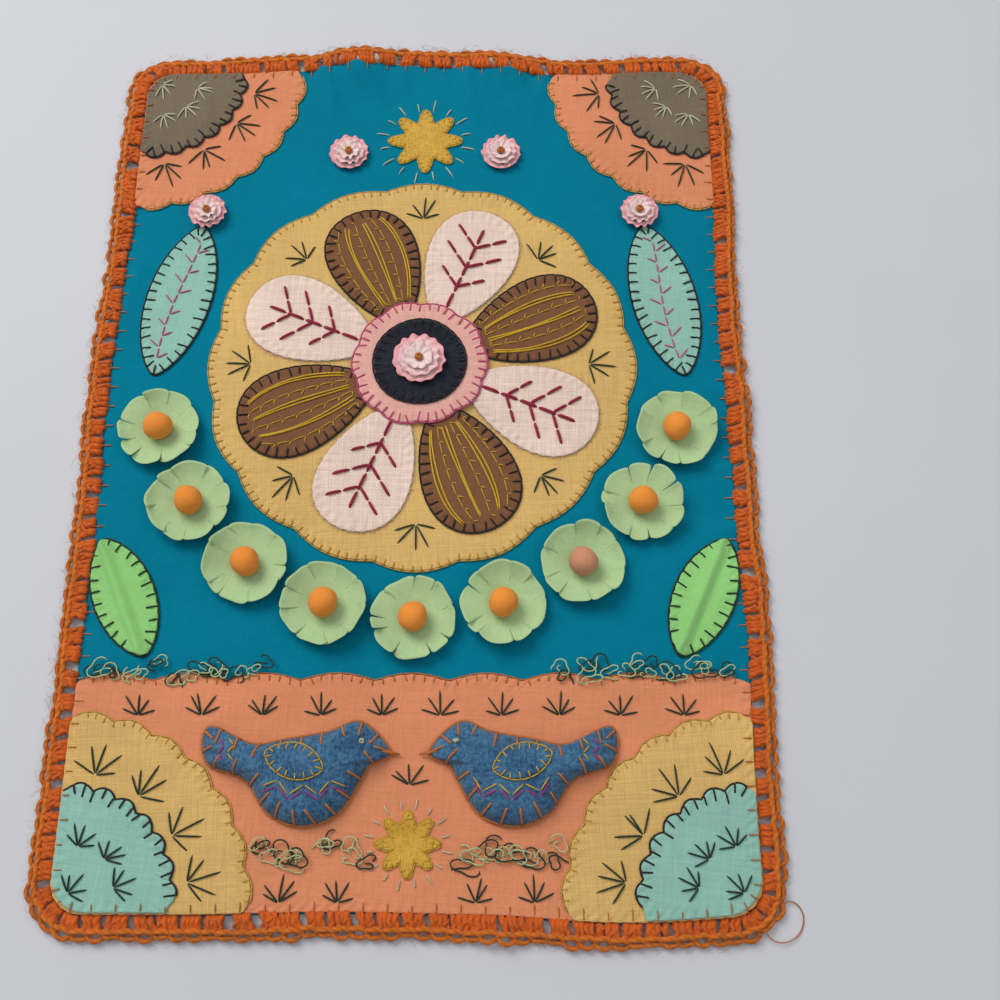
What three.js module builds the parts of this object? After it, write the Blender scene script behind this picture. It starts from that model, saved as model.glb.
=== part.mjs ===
// Arpillera: a hand-sewn applique hanging with a crocheted edging, lying face up on a flat surface.
// Millimetres. +Z is up out of the cloth's face and +Y points to its top edge.
// The origin is the middle of its underside.
import * as THREE from "three";

// Driving dimensions of the cloth and its edging
const WIDTH = 300;
const HEIGHT = 420;
const CLOTH_THICK = 2;
const CORNER_RADIUS = 12;
const EDGING_WIDTH = 10;
const EDGING_THICK = 5;
const STITCHES = 140;
const STITCH_DIP = 1.5;
const SEAM_GAP = 0.3;

// Driving dimensions of the sewn-on pieces
const PATCH_THICK = 1;
const MEDALLION = { x: 0, y: 38, radius: 96, scallop: 3, lobes: 16 };
const PETAL = { count: 8, root: 24, length: 62, width: 48 };
const PINK_DISC = { radius: 30, scallop: 1.5, lobes: 10 };
const NAVY_DISC = { radius: 21, scallop: 0, lobes: 8 };
const FAN = { outer: 77, inner: 46, scallop: 2.5, lobes: 7, outerInset: 1.5, innerInset: 3.5 };
const FIELD = { top: -106, scallop: 3, lobes: 9, inset: 1.5 };
const BLOSSOM = { count: 9, radius: 18.5, cup: 6.5, thick: 1, spread: 18.5, ruffles: 7, ruffle: 1.1 };
const BALL_RADIUS = 6.5;
const BIRD = { x: 44, y: -146, edge: 1, puff: 9 };
const WING = { length: 24, width: 14, slope: 2.85, root: new THREE.Vector2(10, 1) };

// Colours of the cloths, felts and yarn
const COLOUR = {
  teal: 0x01708a,
  yarn: 0xd65a12,
  salmon: 0xd9875c,
  taupe: 0x6a5d50,
  mint: 0x85b49f,
  straw: 0xdcb66e,
  brown: 0x6f4a30,
  cream: 0xdfcab8,
  pink: 0xd8a79a,
  navy: 0x15161f,
  paleGreen: 0x9fc48e,
  orange: 0xf08c3c,
  brightGreen: 0x84b66e,
  gold: 0xd8a93c,
  blue: 0x2e577e,
  rose: 0xe9b4bd,
};

// How far each stretch of the edge bulges outwards, with the length that it fades over
const EDGE_WAVES = [
  { x: -16, y: 200, reach: 95, out: 6 },
  { x: 118, y: 200, reach: 40, out: 1.5 },
  { x: 140, y: 60, reach: 60, out: -1.5 },
  { x: 140, y: -90, reach: 55, out: 1.5 },
  { x: 88, y: -200, reach: 60, out: 3 },
  { x: -30, y: -200, reach: 60, out: -1 },
  { x: -140, y: 30, reach: 80, out: 1.5 },
];

// Where the edge buckles and lifts off the surface
const EDGE_LIFTS = [
  { x: -34, y: 209, reach: 25, lift: 4 },
  { x: 36, y: 209, reach: 24, lift: 3 },
  { x: 34, y: -216, reach: 15, lift: 3 },
  { x: 148, y: 20, reach: 13, lift: 1.5 },
];

// Control points of a bird seen from the side, facing +X, from the beak round over the back
const BIRD_OUTLINE = [
  { x: 36, y: 9 },
  { x: 24, y: 21 },
  { x: 11, y: 17 },
  { x: -6, y: 14 },
  { x: -20, y: 12 },
  { x: -38, y: 19 },
  { x: -38, y: 5 },
  { x: -22, y: -2 },
  { x: -12, y: -15 },
  { x: 2, y: -20 },
  { x: 16, y: -15 },
  { x: 25, y: -1 },
  { x: 28, y: 4 },
];

const LEAVES = [
  { name: "side_leaf", x: 121, y: 33, length: 80, width: 30, turn: 101.5, colour: COLOUR.mint },
  { name: "folded_leaf", x: 112, y: -97, length: 56, width: 26, turn: 66, colour: COLOUR.brightGreen },
];
const STARS = [
  { name: "star_top", x: 0, y: 160, radius: 18, level: 1 },
  { name: "star_bottom", x: 0, y: -173, radius: 13, level: 2 },
];
const ROSETTES = [
  { name: "rosette_centre", x: MEDALLION.x, y: MEDALLION.y, radius: 12, level: 5 },
  { name: "rosette_leaf_right", x: 103, y: 118, radius: 9, level: 2 },
  { name: "rosette_leaf_left", x: -103, y: 118, radius: 9, level: 2 },
  { name: "rosette_star_right", x: 37, y: 152, radius: 9.5, level: 1 },
  { name: "rosette_star_left", x: -37, y: 152, radius: 9.5, level: 1 },
];

const TURN = 2 * Math.PI;
const SIDES = [
  { name: "right", sign: 1 },
  { name: "left", sign: -1 },
];

// Height of the underside of a patch with the given number of cloth layers beneath it
function levelHeight(level) {
  return CLOTH_THICK + SEAM_GAP + (level - 1) * (PATCH_THICK + SEAM_GAP);
}

function cloth(colour) {
  return new THREE.MeshStandardMaterial({ color: colour, roughness: 0.9, metalness: 0 });
}

// A smooth hump: 1 at its middle, 0 from its reach outwards
function hump(row, x, y) {
  const share = Math.hypot(x - row.x, y - row.y) / row.reach;
  return share < 1 ? (1 - share * share) ** 2 : 0;
}

function sumOf(rows, column, x, y) {
  return rows.reduce((sum, row) => sum + row[column] * hump(row, x, y), 0);
}

// Scissor-cut unevenness of an outline, as a share of its radius
function handCut(angle, seed) {
  return 1 + 0.008 * Math.sin(3 * angle + seed) + 0.006 * Math.sin(5 * angle + 2.3 * seed);
}

// A closed surface through rows of points. A row is a closed loop, or one point that closes an end.
function loft(rows, joinEnds = false) {
  const starts = rows.map((_, k) => rows.slice(0, k).reduce((sum, row) => sum + row.length, 0));
  const at = (k, i) => starts[k] + (rows[k].length === 1 ? 0 : i);
  const faces = [];
  const bands = joinEnds ? rows.length : rows.length - 1;
  for (let k = 0; k < bands; k += 1) {
    const next = (k + 1) % rows.length;
    const count = Math.max(rows[k].length, rows[next].length);
    for (let i = 0; i < count; i += 1) {
      const j = (i + 1) % count;
      if (rows[k].length > 1) faces.push(at(k, i), at(k, j), at(next, j));
      if (rows[next].length > 1) faces.push(at(k, i), at(next, j), at(next, i));
    }
  }
  const geometry = new THREE.BufferGeometry().setFromPoints(rows.flat());
  geometry.setIndex(faces);
  geometry.computeVertexNormals();
  return geometry;
}

// A flat patch of cloth cut to an outline, laid at a level
function patch(name, outline, level, colour) {
  const shape = new THREE.Shape(outline);
  const geometry = new THREE.ExtrudeGeometry(shape, { depth: PATCH_THICK, bevelEnabled: false });
  const mesh = new THREE.Mesh(geometry, cloth(colour));
  mesh.name = name;
  mesh.position.z = levelHeight(level);
  return mesh;
}

// Points of the cloth's edge, evenly spaced, with the way out from the cloth at each
function clothEdge(count) {
  const halfWidth = WIDTH / 2 - EDGING_WIDTH;
  const halfHeight = HEIGHT / 2 - EDGING_WIDTH;
  const r = CORNER_RADIUS;
  const path = new THREE.Shape();
  path.moveTo(halfWidth, -halfHeight + r);
  path.absarc(halfWidth - r, halfHeight - r, r, 0, TURN / 4);
  path.absarc(-halfWidth + r, halfHeight - r, r, TURN / 4, TURN / 2);
  path.absarc(-halfWidth + r, -halfHeight + r, r, TURN / 2, (3 * TURN) / 4);
  path.absarc(halfWidth - r, -halfHeight + r, r, (3 * TURN) / 4, TURN);
  const points = path.getSpacedPoints(count).slice(0, count);
  return points.map((point, i) => {
    const ahead = points[(i + 1) % count];
    const behind = points[(i + count - 1) % count];
    const out = new THREE.Vector2(ahead.y - behind.y, behind.x - ahead.x).normalize();
    const wave = sumOf(EDGE_WAVES, "out", point.x, point.y);
    return { point: point.clone().addScaledVector(out, wave), out };
  });
}

// The ground cloth: a sheet whose rim follows the uneven edge and lifts where it buckles
function groundCloth() {
  const edge = clothEdge(STITCHES);
  const insets = [1, 0.955, 0.86, 0.7];
  const ring = (share, height) =>
    edge.map(({ point }) => {
      const x = point.x * share;
      const y = point.y * share;
      return new THREE.Vector3(x, y, height + sumOf(EDGE_LIFTS, "lift", x, y));
    });
  const under = [...insets].reverse().map((share) => ring(share, 0));
  const over = insets.map((share) => ring(share, CLOTH_THICK));
  const middle = (height) => [new THREE.Vector3(0, 0, height)];
  const mesh = new THREE.Mesh(loft([middle(0), ...under, ...over, middle(CLOTH_THICK)]), cloth(COLOUR.teal));
  mesh.name = "ground_cloth";
  return mesh;
}

// The crocheted edging: a band of stitches, an inner row of posts and a raised outer chain
function crochetEdging() {
  const edge = clothEdge(2 * STITCHES);
  const sections = edge.map(({ point, out }, i) => {
    const full = i % 2 === 0;
    const width = full ? EDGING_WIDTH : EDGING_WIDTH - STITCH_DIP;
    const top = full ? EDGING_THICK : EDGING_THICK - STITCH_DIP;
    const profile = [
      [SEAM_GAP, 0],
      [SEAM_GAP, 0.6 * top],
      [0.35 * width, 0.7 * top],
      [0.68 * width, top],
      [width, 0.5 * top],
      [0.9 * width, 0],
    ];
    return profile.map(([outwards, height]) => {
      const x = point.x + out.x * outwards;
      const y = point.y + out.y * outwards;
      return new THREE.Vector3(x, y, height + sumOf(EDGE_LIFTS, "lift", x, y));
    });
  });
  const mesh = new THREE.Mesh(loft(sections, true), cloth(COLOUR.yarn));
  mesh.name = "crochet_edging";
  return mesh;
}

// A quarter disc with a scalloped arc and a rounded corner, its corner at the origin
function fanOutline(radius, corner) {
  const arcSteps = 4 * FAN.lobes;
  const points = [];
  for (let i = 0; i <= arcSteps; i += 1) {
    const angle = ((i / arcSteps) * TURN) / 4;
    const reach = radius + FAN.scallop * (Math.abs(Math.sin(2 * FAN.lobes * angle)) - 0.5);
    points.push(new THREE.Vector2(reach * Math.cos(angle), reach * Math.sin(angle)));
  }
  const cornerSteps = 4;
  for (let i = 0; i <= cornerSteps; i += 1) {
    const angle = TURN / 2 + ((i / cornerSteps) * TURN) / 4;
    points.push(new THREE.Vector2(corner + corner * Math.cos(angle), corner + corner * Math.sin(angle)));
  }
  return points;
}

// Two layered fans in each corner of the cloth
function cornerFans() {
  const halfWidth = WIDTH / 2 - EDGING_WIDTH;
  const halfHeight = HEIGHT / 2 - EDGING_WIDTH;
  const corners = [
    { name: "top_right", x: 1, y: 1, level: 1, outer: COLOUR.salmon, inner: COLOUR.taupe },
    { name: "top_left", x: -1, y: 1, level: 1, outer: COLOUR.salmon, inner: COLOUR.taupe },
    { name: "bottom_left", x: -1, y: -1, level: 2, outer: COLOUR.straw, inner: COLOUR.mint },
    { name: "bottom_right", x: 1, y: -1, level: 2, outer: COLOUR.straw, inner: COLOUR.mint },
  ];
  return corners.flatMap((corner) => {
    const fan = (radius, inset) => {
      const outline = fanOutline(radius, CORNER_RADIUS).map((p) => {
        const x = corner.x * (halfWidth - inset - p.x);
        const y = corner.y * (halfHeight - inset - p.y);
        return new THREE.Vector2(x, y);
      });
      return corner.x * corner.y > 0 ? outline : outline.reverse();
    };
    return [
      patch(`fan_outer_${corner.name}`, fan(FAN.outer, FAN.outerInset), corner.level, corner.outer),
      patch(`fan_inner_${corner.name}`, fan(FAN.inner, FAN.innerInset), corner.level + 1, corner.inner),
    ];
  });
}

// A field across the foot of the cloth: a scalloped top edge, straight sides and rounded lower corners
function lowerField() {
  const right = WIDTH / 2 - EDGING_WIDTH - FIELD.inset;
  const foot = -HEIGHT / 2 + EDGING_WIDTH + FIELD.inset;
  const r = CORNER_RADIUS;
  const path = new THREE.Shape();
  path.absarc(-right + r, foot + r, r, TURN / 2, (3 * TURN) / 4);
  path.absarc(right - r, foot + r, r, (3 * TURN) / 4, TURN);
  const steps = 6 * FIELD.lobes;
  const scallops = Array.from({ length: steps + 1 }, (_, i) => {
    const wave = FIELD.scallop * (Math.abs(Math.sin((FIELD.lobes * Math.PI * i) / steps)) - 0.5);
    return new THREE.Vector2(right * (1 - (2 * i) / steps), FIELD.top + wave);
  });
  return patch("lower_field", [...path.getPoints(4), ...scallops], 1, COLOUR.salmon);
}

// A disc about a centre, with a scalloped edge
function scallopedDisc(centre, { radius, scallop, lobes }, seed) {
  const steps = (radius > 50 ? 6 : 4) * lobes;
  return Array.from({ length: steps }, (_, i) => {
    const angle = (i / steps) * TURN;
    const wave = scallop * (Math.abs(Math.cos((lobes * angle) / 2)) - 0.5);
    const reach = radius * handCut(angle, seed) + wave;
    return new THREE.Vector2(centre.x + reach * Math.cos(angle), centre.y + reach * Math.sin(angle));
  });
}

// A petal along +X from its root: egg-shaped, widest towards its tip
function petalPoint(turn, length, width) {
  const along = (1 - Math.cos(turn)) / 2;
  return { x: length * along, y: 0.5 * width * Math.sin(turn) * (0.6 + 0.5 * along) };
}

// A leaf along +X from its root: widest in the middle and drawn to a blunt point at each end
function leafPoint(turn, length, width) {
  const along = (1 - Math.cos(turn)) / 2;
  return { x: length * along, y: 0.5 * width * Math.sin(turn) * Math.abs(Math.sin(turn)) ** 0.4 };
}

// An outline traced by a point function, turned by an angle and moved to its root
function tracedOutline(pointAt, steps, angle, root) {
  return Array.from({ length: steps }, (_, i) => {
    const { x, y } = pointAt(-(i / steps) * TURN);
    const turned = new THREE.Vector2(x, y).rotateAround(new THREE.Vector2(), angle);
    return turned.add(root);
  });
}

// The flower medallion: a scalloped disc, a ring of petals, and two discs stacked in the middle
function medallion() {
  const centre = new THREE.Vector2(MEDALLION.x, MEDALLION.y);
  const pieces = [patch("medallion_disc", scallopedDisc(centre, MEDALLION, 1), 1, COLOUR.straw)];
  for (let i = 0; i < PETAL.count; i += 1) {
    const angle = ((i + 0.5) / PETAL.count) * TURN;
    const root = new THREE.Vector2(Math.cos(angle), Math.sin(angle)).multiplyScalar(PETAL.root).add(centre);
    const outline = tracedOutline((turn) => petalPoint(turn, PETAL.length, PETAL.width), 32, angle, root);
    pieces.push(patch(`petal_${i + 1}`, outline, 2, i % 2 === 0 ? COLOUR.brown : COLOUR.cream));
  }
  pieces.push(patch("pink_disc", scallopedDisc(centre, PINK_DISC, 2), 3, COLOUR.pink));
  pieces.push(patch("navy_disc", scallopedDisc(centre, NAVY_DISC, 3), 4, COLOUR.navy));
  return pieces;
}

// A gathered blossom: a shallow cup of cloth with a ruffled rim
function blossom(name, x, y, seed) {
  const { radius, cup, thick, ruffles, ruffle } = BLOSSOM;
  const steps = 3 * ruffles;
  const shares = [0.4, 0.75, 1];
  const ring = (share, lift) =>
    Array.from({ length: steps }, (_, i) => {
      const angle = (i / steps) * TURN;
      const reach = radius * share * handCut(angle, seed);
      const wave = ruffle * share ** 3 * Math.sin(ruffles * angle + seed);
      const height = lift + cup * share ** 2.2 + wave;
      return new THREE.Vector3(reach * Math.cos(angle), reach * Math.sin(angle), Math.max(height, lift));
    });
  const under = shares.map((share) => ring(share, 0));
  const over = [...shares].reverse().map((share) => ring(share, thick));
  const rows = [[new THREE.Vector3(0, 0, 0)], ...under, ...over, [new THREE.Vector3(0, 0, thick)]];
  const mesh = new THREE.Mesh(loft(rows), cloth(COLOUR.paleGreen));
  mesh.name = name;
  mesh.position.set(x, y, levelHeight(1));
  return mesh;
}

// A stuffed ball, drawn in and flat where it is sewn down
function stuffedBall(name, x, y) {
  const geometry = new THREE.SphereGeometry(BALL_RADIUS, 12, 8).rotateX(TURN / 4);
  const foot = -0.8 * BALL_RADIUS;
  const position = geometry.getAttribute("position");
  for (let i = 0; i < position.count; i += 1) {
    position.setZ(i, Math.max(position.getZ(i), foot));
  }
  const mesh = new THREE.Mesh(geometry, cloth(COLOUR.orange));
  mesh.name = name;
  mesh.position.set(x, y, levelHeight(1) + BLOSSOM.thick + SEAM_GAP - foot);
  return mesh;
}

// Blossoms with stuffed balls, strung along an arc under the medallion
function blossomGarland() {
  const arc = MEDALLION.radius + MEDALLION.scallop + BLOSSOM.radius + 2;
  const spread = THREE.MathUtils.degToRad(BLOSSOM.spread);
  return Array.from({ length: BLOSSOM.count }, (_, i) => {
    const angle = (3 * TURN) / 4 + (i - (BLOSSOM.count - 1) / 2) * spread;
    const x = MEDALLION.x + arc * Math.cos(angle);
    const y = MEDALLION.y + arc * Math.sin(angle);
    return [blossom(`blossom_${i + 1}`, x, y, i), stuffedBall(`ball_${i + 1}`, x, y)];
  }).flat();
}

// A ruffled ribbon rosette: two tiers of ruffle round a small raised middle
function rosette({ name, x, y, radius, level }) {
  const steps = 16;
  const tiers = [
    { share: 0.85, height: 0 },
    { share: 1, height: 2.4 },
    { share: 0.62, height: 3 },
    { share: 0.6, height: 4.4 },
    { share: 0.28, height: 4.2 },
  ];
  const ring = ({ share, height }, k) =>
    Array.from({ length: steps }, (_, i) => {
      const angle = (i / steps) * TURN;
      const reach = radius * share * (1 + (k > 0 ? 0.07 * Math.sin(5 * angle + k) : 0));
      return new THREE.Vector3(reach * Math.cos(angle), reach * Math.sin(angle), height);
    });
  const rows = [[new THREE.Vector3(0, 0, 0)], ...tiers.map(ring), [new THREE.Vector3(0, 0, 5)]];
  const mesh = new THREE.Mesh(loft(rows), cloth(COLOUR.rose));
  mesh.name = name;
  mesh.position.set(x, y, levelHeight(level));
  return mesh;
}

// A stuffed felt bird: flat underneath, swelling from its sewn edge to a full middle, a wing on its flank
function bird({ name, sign }) {
  const faceInwards = (points) => {
    const turned = points.map((p) => new THREE.Vector2(-sign * p.x, p.y));
    return sign > 0 ? turned.reverse() : turned;
  };
  const steps = 44;
  const control = BIRD_OUTLINE.map((p) => new THREE.Vector3(p.x, p.y, 0));
  const curve = new THREE.CatmullRomCurve3(control, true, "catmullrom");
  const outline = faceInwards(curve.getSpacedPoints(steps).slice(0, steps));
  const ring = (share, height) => outline.map((p) => new THREE.Vector3(p.x * share, p.y * share, height));
  const swell = (share) => BIRD.edge + BIRD.puff * Math.sqrt(1 - share ** 4);
  const shares = [0.95, 0.75, 0.45];
  const rows = [
    [new THREE.Vector3(0, 0, 0)],
    ring(0.97, 0),
    ring(1, BIRD.edge),
    ...shares.map((share) => ring(share, swell(share))),
    [new THREE.Vector3(0, 0, swell(0))],
  ];
  const body = new THREE.Mesh(loft(rows), cloth(COLOUR.blue));
  body.name = `bird_${name}`;
  const { length, width, slope, root } = WING;
  const wingOutline = tracedOutline((turn) => leafPoint(turn, length, width), 20, slope, root);
  const wing = patch(`wing_${name}`, faceInwards(wingOutline), 1, COLOUR.blue);
  wing.position.z = swell(0) + SEAM_GAP;
  const whole = new THREE.Group();
  whole.add(body, wing);
  whole.position.set(sign * BIRD.x, BIRD.y, levelHeight(2));
  return whole;
}

// Leaves on both sides of the cloth
function leaves() {
  return LEAVES.flatMap((leaf) =>
    SIDES.map(({ name, sign }) => {
      const angle = THREE.MathUtils.degToRad(sign > 0 ? leaf.turn : 180 - leaf.turn);
      const root = new THREE.Vector2(sign * leaf.x, leaf.y);
      const outline = tracedOutline((turn) => leafPoint(turn, leaf.length, leaf.width), 28, angle, root);
      return patch(`${leaf.name}_${name}`, outline, 1, leaf.colour);
    }),
  );
}

// Eight-pointed felt stars with soft points
function stars() {
  const points = 8;
  const steps = 5 * points;
  return STARS.map(({ name, x, y, radius, level }) => {
    const outline = Array.from({ length: steps }, (_, i) => {
      const angle = (i / steps) * TURN;
      const reach = radius * (0.8 + 0.2 * Math.cos(points * angle)) * handCut(angle, radius);
      return new THREE.Vector2(x + reach * Math.cos(angle), y + reach * Math.sin(angle));
    });
    return patch(name, outline, level, COLOUR.gold);
  });
}

const arpillera = new THREE.Group();
arpillera.add(
  groundCloth(),
  crochetEdging(),
  lowerField(),
  ...cornerFans(),
  ...medallion(),
  ...leaves(),
  ...stars(),
  ...blossomGarland(),
  ...ROSETTES.map(rosette),
  ...SIDES.map(bird),
);

// The uneven edge is centred on the origin
const reach = new THREE.Box3().setFromObject(arpillera);
const middle = reach.getCenter(new THREE.Vector3());
arpillera.position.set(-middle.x, -middle.y, -reach.min.z);

export default arpillera;
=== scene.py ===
import math

import bpy
import numpy as np
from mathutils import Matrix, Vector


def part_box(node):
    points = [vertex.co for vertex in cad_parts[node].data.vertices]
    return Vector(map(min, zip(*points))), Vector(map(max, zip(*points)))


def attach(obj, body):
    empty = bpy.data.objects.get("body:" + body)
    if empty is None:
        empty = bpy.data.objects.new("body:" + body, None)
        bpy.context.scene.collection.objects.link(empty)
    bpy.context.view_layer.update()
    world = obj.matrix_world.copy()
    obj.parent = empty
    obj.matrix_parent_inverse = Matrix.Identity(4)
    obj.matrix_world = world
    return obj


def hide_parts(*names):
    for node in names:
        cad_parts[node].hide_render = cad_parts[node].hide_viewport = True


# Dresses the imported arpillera, which lies face up: its cloths, felts, stitches, yarn and stuffed trims.
# Shapes are worked out in millimetres in the maker's layout, and put() brings them into the frame.

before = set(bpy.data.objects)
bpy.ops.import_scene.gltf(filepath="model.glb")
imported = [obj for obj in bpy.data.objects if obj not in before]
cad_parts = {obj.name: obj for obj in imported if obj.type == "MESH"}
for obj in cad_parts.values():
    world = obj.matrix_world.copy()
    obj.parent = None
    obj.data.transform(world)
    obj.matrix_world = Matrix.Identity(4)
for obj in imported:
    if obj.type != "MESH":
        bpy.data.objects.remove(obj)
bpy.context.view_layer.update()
rng = np.random.default_rng(23)

MM = 0.001
TURN = 2 * math.pi
UP = np.array([0.0, 0.0, 1.0])

# Sizes of the cloth and its edging
WIDTH = 300.0
HEIGHT = 420.0
EDGING_WIDTH = 10.0
CORNER_RADIUS = 12.0
CLOTH_THICK = 2.0
PATCH_THICK = 1.0
SEAM_GAP = 0.3
HALF_WIDTH = WIDTH / 2 - EDGING_WIDTH
HALF_HEIGHT = HEIGHT / 2 - EDGING_WIDTH

# Sizes of the sewn-on pieces
MEDALLION = {"x": 0.0, "y": 38.0, "radius": 96.0, "scallop": 3.0, "lobes": 16, "sprig_reach": 77.0}
PINK_DISC = {"radius": 30.0, "scallop": 1.5, "lobes": 10}
NAVY_DISC = {"radius": 21.0, "scallop": 0.0, "lobes": 8}
PETAL = {"count": 8, "root": 24.0, "length": 62.0, "width": 48.0}
FAN = {"outer": 77.0, "inner": 46.0, "scallop": 2.5, "lobes": 7, "outer_inset": 1.5, "inner_inset": 3.5}
FIELD = {"top": -106.0, "scallop": 3.0, "lobes": 9, "inset": 1.5}
BLOSSOM = {"count": 9, "radius": 18.5, "spread": math.radians(18.5), "arc": 119.5, "leaves": 9}
BALL_RADIUS = 6.5
PEACH_BALL = 7
BIRD = {"x": 44.0, "y": -146.0, "edge": 1.0, "puff": 9.0, "pitch": 8.5}
WING = {"length": 24.0, "width": 14.0, "slope": 2.85, "x": 10.0, "y": 1.0, "pitch": 4.0}
DISC_THICK = 0.22
RIBBON_THICK = 0.18
RIBBON_WIDTH = 10.0
CENTRE = np.array([MEDALLION["x"], MEDALLION["y"]])

# Stretches of the edge that bulge outwards or draw in, and where it buckles off the surface
EDGE_WAVES = [
    {"x": -16, "y": 200, "reach": 95, "size": 6},
    {"x": 118, "y": 200, "reach": 40, "size": 1.5},
    {"x": 140, "y": 60, "reach": 60, "size": -1.5},
    {"x": 140, "y": -90, "reach": 55, "size": 1.5},
    {"x": 88, "y": -200, "reach": 60, "size": 3},
    {"x": -30, "y": -200, "reach": 60, "size": -1},
    {"x": -140, "y": 30, "reach": 80, "size": 1.5},
]
EDGE_LIFTS = [
    {"x": -34, "y": 209, "reach": 25, "size": 4},
    {"x": 36, "y": 209, "reach": 24, "size": 3},
    {"x": 34, "y": -216, "reach": 15, "size": 3},
    {"x": 148, "y": 20, "reach": 13, "size": 1.5},
]

# Soft creases in the bare ground: from and to, half width and height
CREASES = [
    {"x0": -52, "y0": 203, "x1": -44, "y1": 172, "width": 4.0, "height": 2.3},
    {"x0": -36, "y0": 205, "x1": -20, "y1": 182, "width": 4.5, "height": 2.7},
    {"x0": -10, "y0": 206, "x1": -16, "y1": 184, "width": 3.5, "height": 1.2},
    {"x0": 18, "y0": 206, "x1": 24, "y1": 176, "width": 4.0, "height": 2.1},
    {"x0": 40, "y0": 204, "x1": 54, "y1": 180, "width": 4.5, "height": 2.5},
    {"x0": 58, "y0": 202, "x1": 52, "y1": 165, "width": 3.0, "height": 0.9},
    {"x0": 139, "y0": 24, "x1": 128, "y1": 30, "width": 3.0, "height": 1.0},
    {"x0": 138, "y0": -40, "x1": 116, "y1": -48, "width": 4.0, "height": 1.0},
    {"x0": -139, "y0": -30, "x1": -118, "y1": -52, "width": 4.0, "height": 1.2},
    {"x0": -139, "y0": 62, "x1": -126, "y1": 120, "width": 3.5, "height": 0.8},
]

# Cloths and threads of the fans in the upper and the lower corners, with the layers under them
UPPER_FANS = {
    "level": 1, "on": "ground_cloth_sheet",
    "outer": "salmon_cotton", "inner": "taupe_cotton", "sprig": "cream",
}
LOWER_FANS = {
    "level": 2, "on": "lower_field_cloth",
    "outer": "straw_cotton", "inner": "mint_cotton", "sprig": "dark_green",
}
CORNERS = [
    {"name": "top_right", "x": 1, "y": 1, "fans": UPPER_FANS},
    {"name": "top_left", "x": -1, "y": 1, "fans": UPPER_FANS},
    {"name": "bottom_left", "x": -1, "y": -1, "fans": LOWER_FANS},
    {"name": "bottom_right", "x": 1, "y": -1, "fans": LOWER_FANS},
]

# Sprigs: bearing in degrees and distance from the corner in a fan, and places in the lower field
FAN_SPRIGS = {
    "outer": {"turns": [13, 33, 55, 76], "reach": [55.5, 55.5, 55.5, 55.5], "size": 13.5},
    "inner": {"turns": [22, 45, 68, 45], "reach": [28, 30, 28, 12], "size": 9.5},
}
FIELD_SPRIGS = [
    {"y": -122, "x": [-112, -86, -61, -37, -12, 12, 37, 61, 86, 112]},
    {"y": -150, "x": [0]},
    {"y": -195, "x": [-50, -27, 27, 50]},
]

# Pairs of side veins on a petal: where they start along it, and how far they run
SIDE_VEINS = [
    {"start": 0.3, "reach": 11.0},
    {"start": 0.48, "reach": 14.0},
    {"start": 0.66, "reach": 12.5},
]
SIDES = [("right", 1), ("left", -1)]
LEAVES = [
    {
        "name": "side_leaf", "x": 121, "y": 33, "length": 80, "width": 30, "turn": 101.5,
        "cloth": "mint_cotton", "thread": "black", "pitch": 5.0, "folded": False,
    },
    {
        "name": "folded_leaf", "x": 112, "y": -97, "length": 56, "width": 26, "turn": 66,
        "cloth": "bright_green_cotton", "thread": "dark_green", "pitch": 5.6, "folded": True,
    },
]
STARS = [
    {"name": "star_top", "x": 0, "y": 160, "radius": 18, "level": 1, "on": "ground_cloth_sheet"},
    {"name": "star_bottom", "x": 0, "y": -173, "radius": 13, "level": 2, "on": "lower_field_cloth"},
]
ROSETTES = [
    {"name": "rosette_centre", "x": 0, "y": 38, "radius": 12, "level": 5},
    {"name": "rosette_leaf_right", "x": 103, "y": 118, "radius": 9, "level": 2},
    {"name": "rosette_leaf_left", "x": -103, "y": 118, "radius": 9, "level": 2},
    {"name": "rosette_star_right", "x": 37, "y": 152, "radius": 9.5, "level": 1},
    {"name": "rosette_star_left", "x": -37, "y": 152, "radius": 9.5, "level": 1},
]

# Frills of a rosette, the outer one first: shares of its radius, heights, and ripples round it
FRILLS = [
    {"inner": 0.55, "outer": 1.0, "low": 0.3, "high": 2.4, "ripples": 13},
    {"inner": 0.3, "outer": 0.8, "low": 1.2, "high": 3.7, "ripples": 11},
    {"inner": 0.1, "outer": 0.54, "low": 2.0, "high": 4.6, "ripples": 8},
]

# A bird seen from the side, facing +X, from the beak round over the back
BIRD_OUTLINE = [
    (36, 9), (24, 21), (11, 17), (-6, 14), (-20, 12), (-38, 19), (-38, 5),
    (-22, -2), (-12, -15), (2, -20), (16, -15), (25, -1), (28, 4),
]
BIRD_EYE = (25.0, 12.5)
BEAK_LINE = [(33.0, 9.0), (36.5, 8.6), (40.0, 8.0)]
FLANK_BANDS = [{"colour": "yellow", "y": -7.0}, {"colour": "magenta", "y": -9.2}]
TAIL_BANDS = [{"colour": "yellow", "x": -27}, {"colour": "magenta", "x": -31}]

# Tufts of loose loops: middle, half width, and how many loops of each green
TUFTS = [
    {"x": 96, "y": -103, "half": 34, "pale_green": 12, "dark_green": 8},
    {"x": -96, "y": -103, "half": 34, "pale_green": 12, "dark_green": 8},
    {"x": 40, "y": -177, "half": 19, "pale_green": 9, "dark_green": 5},
    {"x": -40, "y": -177, "half": 19, "pale_green": 9, "dark_green": 5},
]
TUFT_RADIUS = {"pale_green": 0.3, "dark_green": 0.36}

# What goes round the edging: groups of posts, posts in a group, links of the chain and stray fibres,
# how far out the posts and links reach, and half the thickness of each strand
EDGING = {"groups": 144, "posts": 4, "post_reach": 6.3, "links": 216, "link_reach": 6.5, "hairs": 5200}
POST_GIRTH = (1.2, 1.55)
WIND_GIRTH = 0.85
HAIR_GIRTH = 0.07

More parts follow.
